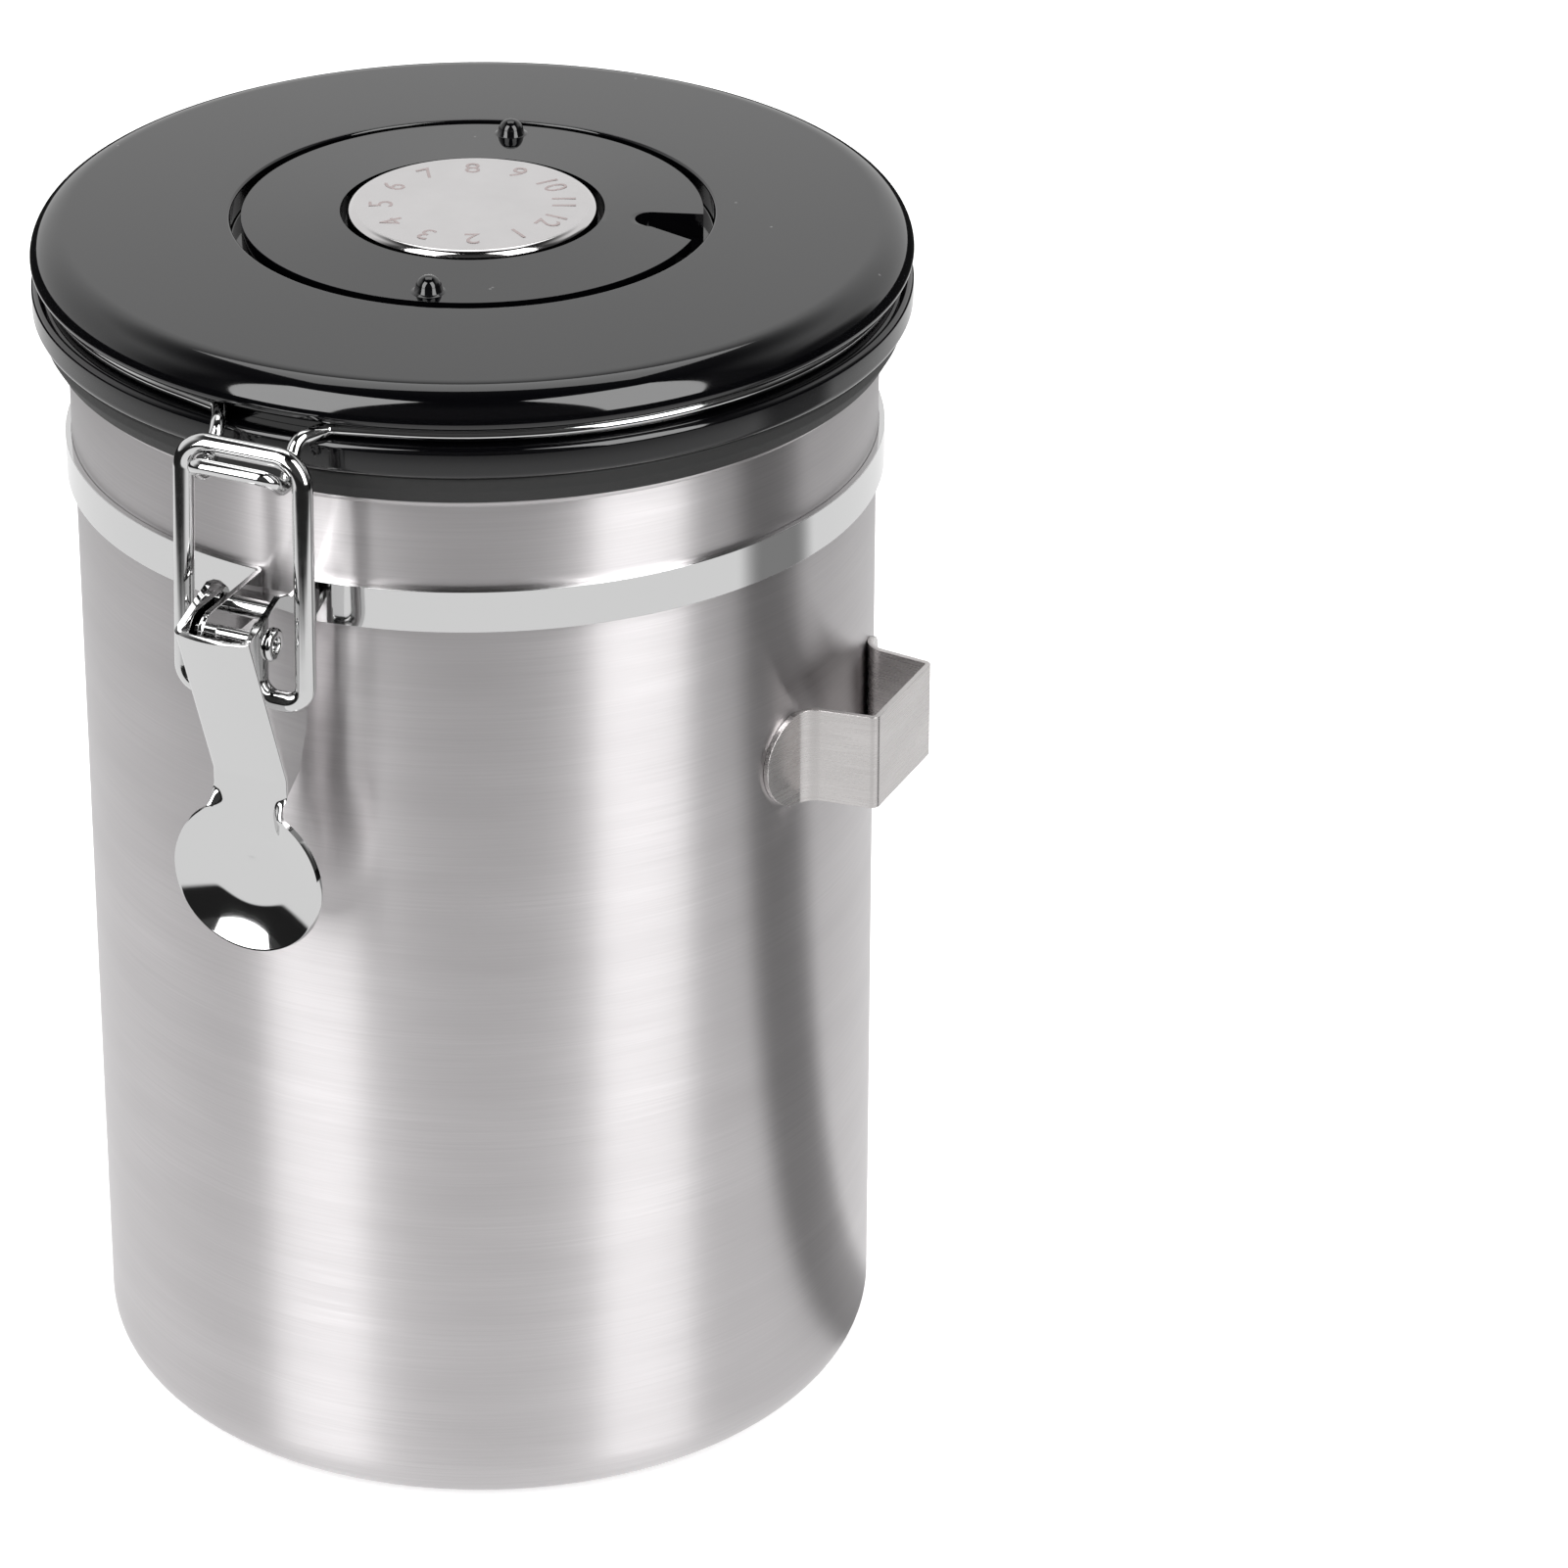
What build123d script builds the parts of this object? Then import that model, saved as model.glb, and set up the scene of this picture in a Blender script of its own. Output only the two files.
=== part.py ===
from build123d import *

import os
from math import asin, cos, degrees, radians, sin, sqrt

# Coffee canister: a brushed steel can whose plastic lid is pulled down by a wire latch.
# Lengths are millimetres. +Z is up and the origin is the middle of the base, on the table.
# The latch faces -Y, the lid hinge is at +Y and the scoop holder at +X.
# "Out" means away from the can's axis.

# Can
can_r = 60.0
can_wall = 0.8
can_z = 171.2
base_corner_r = 8.0
neck_step = 0.3
rim_bead_r = 1.0
rim_bead_out = 0.1

# Clamp band round the neck and its two ears
sheet = 0.9
band_h = 6.4
band_drop = 21.6
neck_slope = 1.0
band_fold_r = 1.1
fit_gap = 0.05
run_gap = 0.06

# Lid
lid_overhang = 5.0
lid_gasket_h = 3.9
lid_flange_h = 4.9
lid_cover_h = 8.4
lid_crown = 0.5
lid_wall = 2.2
bail_slot_h = 2.4
bail_slot_depth = 3.9
bail_wire_d = 2.2
plug_gap = 1.1
plug_wall = 1.8
plug_depth = 6.6
plug_floor_up = 2.4
plug_floor_t = 2.0

# Latch: lever pivot on the ears, link pivot on the lever, and the link's bar in the nose
lever_pivot_run = 10.7
link_pivot_in = 2.4
link_pivot_down = 10.0
link_bar_run = 6.7
link_bar_drop = 1.2
link_wire_d = 3.0
link_side_gap = 2.2
lever_w = 11.8
lever_side_gap = 0.6
rivet_d = 2.4

# Date ring and dial on top of the lid
recess_r = 35.8
recess_depth = 3.2
date_ring_gap = 1.7
date_ring_crown = 0.45
date_ring_angle = 17.0
dial_r = 18.5
dial_gap = 1.05
dial_rise = 1.8

# Lid hinge
hinge_run = 4.3
hinge_drop = 9.6
hinge_w = 12.0
hinge_side_gap = 1.5

# Scoop holder
holder_h = 15.0
holder_drop = 32.5
holder_reach = 10.5
holder_w = 20.7
holder_span = 40.4
holder_sheet = 0.8

# One overrun for every cut
overrun = 5.0

os.makedirs("parts", exist_ok=True)


def finish(part, name):
    part.part.label = name
    export_step(part.part, f"parts/{name}.step")


# Radii and heights that several pieces share
neck_r = can_r + neck_step
can_in_r = neck_r - can_wall
rim_mid_r = neck_r + rim_bead_out
rim_mid_z = can_z - rim_bead_r
rim_out_r = rim_mid_r + rim_bead_r
band_z = can_z - band_drop
band_in_r = neck_r + fit_gap
band_mid_r = band_in_r + sheet / 2
band_out_r = band_in_r + sheet
band_top_z = band_z + band_h
band_mid_z = band_z + band_h / 2
lid_r = neck_r + lid_overhang
lid_flange_z = can_z + lid_gasket_h
lid_split_z = lid_flange_z + lid_flange_h
lid_top_z = lid_split_z + lid_cover_h
recess_z = lid_top_z - recess_depth
recess_top_z = lid_top_z + lid_crown
plug_r = can_in_r - plug_gap
plug_z = can_z - plug_depth
bail_slot_r = lid_r - bail_slot_depth
bail_slot_top_z = lid_split_z + bail_slot_h
bail_r = bail_slot_r + bail_wire_d / 2 + fit_gap
bail_z = lid_split_z + bail_slot_h / 2
date_ring_r = recess_r - date_ring_gap
date_ring_bore_r = dial_r + dial_gap
lever_pivot_out = lid_r + lever_pivot_run
lever_pivot_z = band_mid_z
link_pivot_out = lever_pivot_out - link_pivot_in
link_pivot_z = lever_pivot_z - link_pivot_down
link_bar_out = lid_r + link_bar_run
link_bar_z = bail_z - link_bar_drop
link_half_w = lever_w / 2 + link_side_gap + link_wire_d / 2
ear_gap = lever_w - 4 * sheet - 2 * lever_side_gap
ear_x = ear_gap / 2 + sheet / 2
hinge_out = lid_r + hinge_run
hinge_z = bail_z - hinge_drop
holder_mid_z = band_z - holder_drop
holder_out = can_r + holder_reach

# Can: one drawn shell with a flat base, a slightly wider neck above the band and a rolled rim
neck_z = band_mid_z
base_flat_r = can_r - base_corner_r

with BuildPart() as can_shell:
    with BuildSketch(Plane.XZ):
        with BuildLine():
            Line((0, 0), (base_flat_r, 0))
            CenterArc((base_flat_r, base_corner_r), base_corner_r, -90, 90)
            Polyline(
                (can_r, base_corner_r),
                (can_r, neck_z - neck_slope),
                (neck_r, neck_z),
                (neck_r, rim_mid_z),
                (can_in_r, rim_mid_z),
                (can_in_r, neck_z),
                (can_r - can_wall, neck_z - neck_slope),
                (can_r - can_wall, base_corner_r),
            )
            CenterArc((base_flat_r, base_corner_r), base_corner_r - can_wall, 0, -90)
            Polyline((base_flat_r, can_wall), (0, can_wall), (0, 0))
        make_face()
        with Locations((rim_mid_r, rim_mid_z)):
            Circle(rim_bead_r)
    revolve(axis=Axis.Z)
finish(can_shell, "can_shell")

# Clamp band: a strip round the neck whose ends fold out into two ears for the latch
tie_back = 6.2
tie_rise = 1.6
tie_d = 1.6
tie_out = lever_pivot_out - tie_back
tie_z = band_mid_z + tie_rise
fold_run = 2.0
fold_y = -sqrt(band_mid_r**2 - ear_x**2)
strip_x = ear_x + fold_run
strip_y = -sqrt(band_mid_r**2 - strip_x**2)
strip_angle = degrees(asin(strip_x / band_mid_r))

with BuildPart() as clamp_band:
    with BuildSketch(Plane.XY.offset(band_z)):
        with BuildLine() as strip_path:
            FilletPolyline(
                (-ear_x, -lever_pivot_out),
                (-ear_x, fold_y),
                (-strip_x, strip_y),
                radius=band_fold_r,
            )
            CenterArc((0, 0), band_mid_r, 270 - strip_angle, 2 * strip_angle - 360)
            FilletPolyline(
                (strip_x, strip_y),
                (ear_x, fold_y),
                (ear_x, -lever_pivot_out),
                radius=band_fold_r,
            )
        trace(line_width=sheet)
    extrude(amount=band_h)
    for side in (-1, 1):
        with BuildSketch(Plane.YZ.offset(side * ear_x)):
            with Locations((-lever_pivot_out, lever_pivot_z)):
                Circle(band_h / 2)
        extrude(amount=sheet / 2, both=True)
    with BuildSketch(Plane.YZ):
        with Locations((-lever_pivot_out, lever_pivot_z)):
            Circle(rivet_d / 2 + fit_gap)
        with Locations((-tie_out, tie_z)):
            Circle(tie_d / 2 + fit_gap)
    extrude(amount=lever_w, both=True, mode=Mode.SUBTRACT)
    hinge_rivet_d = 2.0
    hinge_rivet_x = 3.4
    with BuildSketch(Plane.XZ):
        with Locations((-hinge_rivet_x, band_mid_z), (hinge_rivet_x, band_mid_z)):
            Circle(hinge_rivet_d / 2 + fit_gap)
    extrude(amount=-(band_out_r + overrun), mode=Mode.SUBTRACT)
finish(clamp_band, "clamp_band")

# Tie rivet and its spacer tube, which hold the ears apart and the band tight
tie_head_d = 3.0
tie_head_h = 0.35
spacer_d = 2.8
ear_face_x = ear_gap / 2 + sheet

with BuildPart() as clamp_tie:
    with BuildSketch(Plane.YZ):
        with Locations((-tie_out, tie_z)):
            Circle(tie_d / 2)
    extrude(amount=ear_face_x, both=True)
    for side in (-1, 1):
        with BuildSketch(Plane.YZ.offset(side * ear_face_x)):
            with Locations((-tie_out, tie_z)):
                Circle(tie_head_d / 2)
        extrude(amount=side * tie_head_h)
finish(clamp_tie, "clamp_tie")

with BuildPart() as clamp_spacer:
    with BuildSketch(Plane.YZ):
        with Locations((-tie_out, tie_z)):
            Circle(spacer_d / 2)
            Circle(tie_d / 2 + fit_gap, mode=Mode.SUBTRACT)
    extrude(amount=ear_gap / 2 - fit_gap, both=True)
finish(clamp_spacer, "clamp_spacer")

# Lever rivet: the lever's pivot pin, with an eyelet head outside each flange
rivet_head_d = 5.3
rivet_head_h = 0.7
rivet_head_gap = 0.1
eyelet_d = 2.2
eyelet_depth = 1.6
head_x = lever_w / 2 + rivet_head_gap

with BuildPart() as lever_rivet:
    with BuildSketch(Plane.YZ):
        with Locations((-lever_pivot_out, lever_pivot_z)):
            Circle(rivet_d / 2)
    extrude(amount=head_x, both=True)
    for side in (-1, 1):
        with BuildSketch(Plane.YZ.offset(side * head_x)):
            with Locations((-lever_pivot_out, lever_pivot_z)):
                Circle(rivet_head_d / 2)
        extrude(amount=side * rivet_head_h)
    head_face_x = head_x + rivet_head_h
    fillet(
        lever_rivet.edges().filter_by(GeomType.CIRCLE).group_by(Axis.X)[0]
        + lever_rivet.edges().filter_by(GeomType.CIRCLE).group_by(Axis.X)[-1],
        rivet_head_h / 2,
    )
    for side in (-1, 1):
        with BuildSketch(Plane.YZ.offset(side * head_face_x)):
            with Locations((-lever_pivot_out, lever_pivot_z)):
                Circle(eyelet_d / 2)
        extrude(amount=-side * eyelet_depth, mode=Mode.SUBTRACT)
finish(lever_rivet, "lever_rivet")

# Lever: a pressed channel with two deep flanges, ending in a round dished thumb pad.
# Its outline is given out from, and up from, the lever's pivot.
lever_reach = 23.2
plate_top_out = 8.4
plate_top_up = 2.8
plate_foot_in = 2.0
lever_bend_r = 1.15
ridge_share = (-0.07, 0.27)
crown_share = (-0.23, 0.19)
back_share = (-0.35, -0.02)
waist_share = (-0.40, -0.72)
tail_share = (-0.28, -1.0)
tip_share = (-0.09, -1.12)
pad_r = 11.8
neck_run = 3.8
pad_in = 0.7
dish_depth = 1.7
dome_r = 4.2
dome_rise = 1.7
dome_side_share = 0.6
dome_foot_share = 1.3
dish_edge_share = 0.8
neck_w = 11.4


def lever_point(share):
    return (-(lever_pivot_out + share[0] * lever_reach), lever_pivot_z + share[1] * lever_reach)


plate_top = (-(lever_pivot_out + plate_top_out), lever_pivot_z + plate_top_up)
plate_foot = (-(lever_pivot_out - plate_foot_in), lever_pivot_z - lever_reach)
pad_out = lever_pivot_out - pad_in
pad_mid_z = lever_pivot_z - lever_reach - neck_run - pad_r

with BuildPart() as latch_lever:
    with BuildSketch(Plane.YZ):
        with BuildLine():
            Line(plate_foot, plate_top)
            Line(plate_top, lever_point(ridge_share))
            ThreePointArc(lever_point(ridge_share), lever_point(crown_share), lever_point(back_share))
            Polyline(
                lever_point(back_share),
                lever_point(waist_share),
                lever_point(tail_share),
                lever_point(tip_share),
                plate_foot,
            )
        make_face()
    extrude(amount=lever_w / 2, both=True)
    plate_edges = latch_lever.edges().filter_by(
        lambda e: abs(e.center().Y - (plate_top[0] + plate_foot[0]) / 2) < sheet
        and e.length > lever_reach
    )
    fillet(plate_edges, lever_bend_r)
    # The channel's inside, open at the back and at the top
    plate_run = sqrt((plate_top[0] - plate_foot[0]) ** 2 + (plate_top[1] - plate_foot[1]) ** 2)
    plate_dir = ((plate_top[0] - plate_foot[0]) / plate_run, (plate_top[1] - plate_foot[1]) / plate_run)
    plate_in = (plate_dir[1] * sheet, -plate_dir[0] * sheet)
    inner_top = (
        plate_top[0] + plate_in[0] + plate_dir[0] * overrun,
        plate_top[1] + plate_in[1] + plate_dir[1] * overrun,
    )
    inner_foot = (
        plate_foot[0] + plate_in[0] - plate_dir[0] * overrun,
        plate_foot[1] + plate_in[1] - plate_dir[1] * overrun,
    )
    with BuildSketch(Plane.YZ):
        with BuildLine():
            Polyline(
                inner_top,
                inner_foot,
                (inner_foot[0] + lever_reach, inner_foot[1]),
                (inner_foot[0] + lever_reach, inner_top[1] + overrun),
                (inner_top[0], inner_top[1] + overrun),
                close=True,
            )
        make_face()
    extrude(amount=lever_w / 2 - sheet, both=True, mode=Mode.SUBTRACT)
    # Thumb pad: a dished disc with a dome in the middle
    with BuildSketch(Plane.YZ):
        with BuildLine():
            pad_face = Spline(
                (-(pad_out + dome_rise - dish_depth), pad_mid_z),
                (-(pad_out + dome_rise / 2 - dish_depth), pad_mid_z - dome_r * dome_side_share),
                (-(pad_out - dish_depth), pad_mid_z - dome_r * dome_foot_share),
                (-(pad_out - dish_depth / 2), pad_mid_z - pad_r * dish_edge_share),
                (-pad_out, pad_mid_z - pad_r),
            )
            pad_back = Spline(
                (-(pad_out - sheet), pad_mid_z - pad_r),
                (-(pad_out - dish_depth / 2 - sheet), pad_mid_z - pad_r * dish_edge_share),
                (-(pad_out - dish_depth - sheet), pad_mid_z - dome_r * dome_foot_share),
                (-(pad_out + dome_rise / 2 - dish_depth - sheet), pad_mid_z - dome_r * dome_side_share),
                (-(pad_out + dome_rise - dish_depth - sheet), pad_mid_z),
            )
            Line(pad_face @ 1, pad_back @ 0)
            Line(pad_back @ 1, pad_face @ 0)
        make_face()
    revolve(axis=Axis((0, -pad_out, pad_mid_z), (0, 1, 0)))
    # The neck carries the plate down into the pad
    with BuildSketch(Plane.YZ):
        with BuildLine():
            Polyline(
                plate_foot,
                (-pad_out, pad_mid_z + pad_r),
                (-(pad_out - dish_depth / 2), pad_mid_z + pad_r * dish_edge_share),
                (-(pad_out - dish_depth / 2 - sheet), pad_mid_z + pad_r * dish_edge_share),
                (-(pad_out - sheet), pad_mid_z + pad_r),
                (plate_foot[0] + plate_in[0], plate_foot[1] + plate_in[1]),
                close=True,
            )
        make_face()
    extrude(amount=neck_w / 2, both=True)
    with BuildSketch(Plane.YZ):
        with Locations((-lever_pivot_out, lever_pivot_z)):
            Circle(rivet_d / 2 + run_gap)
        with Locations((-link_pivot_out, link_pivot_z)):
            Circle(link_wire_d / 2 + run_gap)
    extrude(amount=lever_w, both=True, mode=Mode.SUBTRACT)
finish(latch_lever, "latch_lever")

# Link: one wire bent to a frame, its two ends turned in through the lever's flanges
link_top_r = 4.2
link_foot_r = 2.6
link_end_in = 0.25
link_end_x = lever_w / 2 - sheet - link_end_in
link_low = Vector(0, -link_pivot_out, link_pivot_z)
link_high = Vector(0, -link_bar_out, link_bar_z)
link_side = Vector(link_half_w, 0, 0)
link_tip = Vector(link_end_x, 0, 0)

with BuildPart() as link_wire:
    with BuildLine() as link_path:
        FilletPolyline(
            link_low - link_tip,
            link_low - link_side,
            link_high - link_side,
            link_high + link_side,
            link_low + link_side,
            link_low + link_tip,
            radius=[link_foot_r, link_top_r, link_top_r, link_foot_r],
        )
    with BuildSketch(Plane(link_path.line @ 0, z_dir=link_path.line % 0)):
        Circle(link_wire_d / 2)
    sweep()
finish(link_wire, "link_wire")

# Bail: one wire round the lid's slot, bent into a nose at the latch and a hinge bar behind.
# Each corner is (half width, out from the axis, height).
nose_side_gap = 0.8
nose_run = 10.4
nose_drop = 3.0
nose_dip_run = 6.3
nose_dip_drop = 6.4
nose_root_run = 2.3
nose_root_drop = 0.2
nose_flare = 11.2
nose_turn_run = 9.0
nose_corner_r = 2.0
nose_dip_r = 1.5
nose_root_r = 2.5
wire_turn_r = 1.6
bar_flare = 3.0
bar_turn_run = 2.6
bar_corner_r = 2.0
bar_shoulder_r = 2.5
nose_half_w = link_half_w - (link_wire_d + bail_wire_d) / 2 - nose_side_gap
bar_half_w = hinge_w / 2 + hinge_side_gap + bail_wire_d / 2


def slot_exit(half_w, run):
    angle = asin(half_w / bail_r)
    start = (half_w, bail_r * cos(angle))
    return start, (half_w - run * cos(angle), start[1] + run * sin(angle)), degrees(angle)


def loop_points(corners, side):
    left = [Vector(-x, side * out, z) for x, out, z in corners]
    right = [Vector(x, side * out, z) for x, out, z in reversed(corners)]
    return left + right


nose_from, nose_turn, nose_angle = slot_exit(nose_half_w + nose_flare, nose_turn_run)
bar_from, bar_turn, bar_angle = slot_exit(bar_half_w + bar_flare, bar_turn_run)
nose_corners = [
    (*nose_from, bail_z),
    (*nose_turn, bail_z),
    (nose_half_w, lid_r + nose_root_run, bail_z - nose_root_drop),
    (nose_half_w, lid_r + nose_dip_run, bail_z - nose_dip_drop),
    (nose_half_w, lid_r + nose_run, bail_z - nose_drop),
]
bar_corners = [
    (*bar_from, bail_z),
    (*bar_turn, bail_z),
    (bar_half_w, hinge_out, bail_z),
    (bar_half_w, hinge_out, hinge_z),
]
nose_radii = [wire_turn_r, nose_root_r, nose_dip_r, nose_corner_r]
bar_radii = [wire_turn_r, bar_shoulder_r, bar_corner_r]

with BuildPart() as bail_wire:
    with BuildLine() as nose_path:
        FilletPolyline(*loop_points(nose_corners, -1), radius=nose_radii + nose_radii[::-1])
    with BuildSketch(Plane(nose_path.line @ 0, z_dir=nose_path.line % 0)):
        Circle(bail_wire_d / 2)
    sweep()
    with BuildLine() as bar_path:
        FilletPolyline(*loop_points(bar_corners, 1), radius=bar_radii + bar_radii[::-1])
    with BuildSketch(Plane(bar_path.line @ 0, z_dir=bar_path.line % 0)):
        Circle(bail_wire_d / 2)
    sweep(path=bar_path.line)
    side_sweep = 180 - nose_angle - bar_angle
    for first in (-90 + nose_angle, 90 + bar_angle):
        turn = radians(first)
        section = Plane((0, 0, bail_z), x_dir=(cos(turn), sin(turn), 0), z_dir=(sin(turn), -cos(turn), 0))
        with BuildSketch(section):
            with Locations((bail_r, 0)):
                Circle(bail_wire_d / 2)
        revolve(axis=Axis((0, 0, 0), (0, 0, 1)), revolution_arc=side_sweep)
finish(bail_wire, "bail_wire")

# Hinge bracket: a strip riveted to the back of the band and rolled round the bail's bar
knuckle_in_r = bail_wire_d / 2 + run_gap
knuckle_r = knuckle_in_r + sheet
bracket_bend_r = 2.0
tab_out = band_out_r + fit_gap + sheet / 2
bracket_knee_up = 3.0
bracket_knee_z = band_top_z + bracket_knee_up

with BuildPart() as hinge_bracket:
    with BuildSketch(Plane.YZ):
        with BuildLine():
            FilletPolyline(
                (tab_out, band_z),
                (tab_out, bracket_knee_z),
                (hinge_out + knuckle_in_r + sheet / 2, hinge_z - knuckle_r),
                (hinge_out + knuckle_in_r + sheet / 2, hinge_z),
                radius=bracket_bend_r,
            )
        trace(line_width=sheet)
        with Locations((hinge_out, hinge_z)):
            Circle(knuckle_r)
            Circle(knuckle_in_r, mode=Mode.SUBTRACT)
    extrude(amount=hinge_w / 2, both=True)
    with BuildSketch(Plane.XZ):
        with Locations((-hinge_rivet_x, band_mid_z), (hinge_rivet_x, band_mid_z)):
            Circle(hinge_rivet_d / 2 + fit_gap)
    extrude(amount=-(tab_out + sheet), mode=Mode.SUBTRACT)
finish(hinge_bracket, "hinge_bracket")

# Two rivets through the bracket and the band
hinge_rivet_head_d = 3.6
hinge_rivet_head_h = 0.8
tab_face = tab_out + sheet / 2

with BuildPart() as hinge_rivets:
    with BuildSketch(Plane.XZ.offset(-tab_face)):
        with Locations((-hinge_rivet_x, band_mid_z), (hinge_rivet_x, band_mid_z)):
            Circle(hinge_rivet_head_d / 2)
    extrude(amount=-hinge_rivet_head_h)
    fillet(hinge_rivets.edges().group_by(Axis.Y)[-1], hinge_rivet_head_h / 2)
    with BuildSketch(Plane.XZ.offset(-tab_face)):
        with Locations((-hinge_rivet_x, band_mid_z), (hinge_rivet_x, band_mid_z)):
            Circle(hinge_rivet_d / 2)
    extrude(amount=tab_face - band_in_r)
finish(hinge_rivets, "hinge_rivets")

# Scoop holder: a strip welded to the can by two round-ended wings, standing out as a slot
wing_r = can_r + fit_gap + holder_sheet / 2
wing_flat = 2.6
wing_start = 13.8
holder_bend_r = 0.9
wing_bend_r = 1.8
wing_angle = degrees(asin(wing_start / wing_r))
wing_end_angle = degrees(asin(holder_span / 2 / wing_r))
wing_from = (wing_r * cos(radians(wing_angle)), wing_start)
wing_turn = (
    wing_from[0] + wing_flat * sin(radians(wing_angle)),
    wing_from[1] - wing_flat * cos(radians(wing_angle)),
)
face_out = holder_out - holder_sheet / 2
face_half = holder_w / 2 - holder_sheet / 2

with BuildPart() as scoop_holder:
    with BuildSketch(Plane.XY.offset(holder_mid_z - holder_h / 2)):
        with BuildLine():
            CenterArc((0, 0), wing_r, wing_end_angle, wing_angle - wing_end_angle)
            FilletPolyline(
                wing_from,
                wing_turn,
                (face_out, face_half),
                (face_out, -face_half),
                (wing_turn[0], -wing_turn[1]),
                (wing_from[0], -wing_from[1]),
                radius=[wing_bend_r, holder_bend_r, holder_bend_r, wing_bend_r],
            )
            CenterArc((0, 0), wing_r, -wing_angle, wing_angle - wing_end_angle)
        trace(line_width=holder_sheet)
    extrude(amount=holder_h)
    with BuildSketch(Plane.YZ):
        with Locations((0, holder_mid_z)):
            SlotOverall(holder_span, holder_h)
    extrude(amount=holder_out + overrun, mode=Mode.INTERSECT)
finish(scoop_holder, "scoop_holder")

# Lid cover: the slightly crowned top with its round shoulder, the ring recess and a tongue below
shoulder_run = 5.3
shoulder_share = 0.72
lip_run = 1.4
slot_wall = 0.9
recess_edge_r = 0.4
tongue_t = 1.5
tongue_h = 2.7
shoulder_z = lid_top_z - (lid_top_z - bail_slot_top_z) * shoulder_share
tongue_out_r = bail_slot_r - slot_wall
tongue_in_r = tongue_out_r - tongue_t
core_spigot_r = 6.0
vent_d = 2.0
vent_count = 4
vent_ring_r = 27.0
vent_turn = 45.0

with BuildPart() as lid_cover:
    with BuildSketch(Plane.XZ):
        with BuildLine():
            Polyline(
                (core_spigot_r + fit_gap, recess_z - lid_wall),
                (core_spigot_r + fit_gap, recess_z),
                (recess_r, recess_z),
                (recess_r, recess_top_z),
                (lid_r - shoulder_run, lid_top_z),
            )
            EllipticalCenterArc(
                (lid_r - shoulder_run, shoulder_z),
                shoulder_run,
                lid_top_z - shoulder_z,
                arc_size=90,
            )
            EllipticalCenterArc(
                (lid_r - lip_run, shoulder_z),
                lip_run,
                shoulder_z - bail_slot_top_z,
                start_angle=-90,
                arc_size=90,
            )
            Polyline(
                (lid_r - lip_run, bail_slot_top_z),
                (bail_slot_r, bail_slot_top_z),
                (bail_slot_r, lid_split_z + fit_gap),
                (tongue_out_r, lid_split_z + fit_gap),
                (tongue_out_r, lid_split_z - tongue_h),
                (tongue_in_r, lid_split_z - tongue_h),
                (tongue_in_r, shoulder_z),
                (lid_r - shoulder_run - slot_wall, lid_top_z - lid_wall),
                (recess_r + lid_wall, lid_top_z - lid_wall),
                (recess_r + lid_wall, recess_z - lid_wall),
                (core_spigot_r + fit_gap, recess_z - lid_wall),
            )
        make_face()
    revolve(axis=Axis.Z)
    recess_edge = lid_cover.edges().filter_by(GeomType.CIRCLE).filter_by(
        lambda e: abs(e.radius - recess_r) < fit_gap and e.center().Z > recess_z + fit_gap
    )
    fillet(recess_edge, recess_edge_r)
    with BuildSketch(Plane.XY.offset(recess_z)):
        with PolarLocations(vent_ring_r, vent_count, start_angle=vent_turn):
            Circle(vent_d / 2)
    extrude(amount=-(lid_wall + overrun), mode=Mode.SUBTRACT)
finish(lid_cover, "lid_cover")

# Lid base: the flange under the bail wire and the plug that enters the can's mouth
flange_low_r = 1.3
flange_top_r = 0.9
pocket_in_r = tongue_in_r - fit_gap
pocket_out_r = tongue_out_r + fit_gap
pocket_z = lid_split_z - tongue_h - fit_gap
plug_in_r = plug_r - plug_wall
plug_floor_z = plug_z + plug_floor_up
collar_h = 4.4
valve_r = 15.0

with BuildPart() as lid_base:
    with BuildSketch(Plane.XZ):
        with BuildLine():
            Polyline(
                (valve_r + fit_gap, plug_floor_z),
                (plug_in_r, plug_floor_z),
                (plug_in_r, plug_z),
                (plug_r, plug_z),
                (plug_r, lid_flange_z),
                (lid_r - flange_low_r, lid_flange_z),
            )
            CenterArc((lid_r - flange_low_r, lid_flange_z + flange_low_r), flange_low_r, -90, 90)
            Line((lid_r, lid_flange_z + flange_low_r), (lid_r, lid_split_z - flange_top_r))
            CenterArc((lid_r - flange_top_r, lid_split_z - flange_top_r), flange_top_r, 0, 90)
            Polyline(
                (lid_r - flange_top_r, lid_split_z),
                (pocket_out_r, lid_split_z),
                (pocket_out_r, pocket_z),
                (pocket_in_r, pocket_z),
                (pocket_in_r, lid_flange_z + collar_h),
                (plug_in_r, lid_flange_z + collar_h),
                (plug_in_r, plug_floor_z + plug_floor_t),
                (valve_r + fit_gap, plug_floor_z + plug_floor_t),
                (valve_r + fit_gap, plug_floor_z),
            )
        make_face()
    revolve(axis=Axis.Z)
finish(lid_base, "lid_base")

# Gasket: a soft ring under the flange, resting on the can's rim with a lip inside the mouth
gasket_inset = 1.0
gasket_foot_run = 1.0
gasket_skirt_t = 0.6
gasket_skirt_drop = 0.7
gasket_seat_gap = 0.1
gasket_lip_drop = 2.6
gasket_lip_gap = 0.4
gasket_taper = 0.6
gasket_belly = 0.35
gasket_out_r = lid_r - gasket_inset
gasket_foot_r = rim_out_r + gasket_foot_run
gasket_seat_z = can_z + gasket_seat_gap
gasket_top_z = lid_flange_z - fit_gap
gasket_foot_z = can_z - gasket_skirt_drop
gasket_lip_r = can_in_r - gasket_lip_gap

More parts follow.
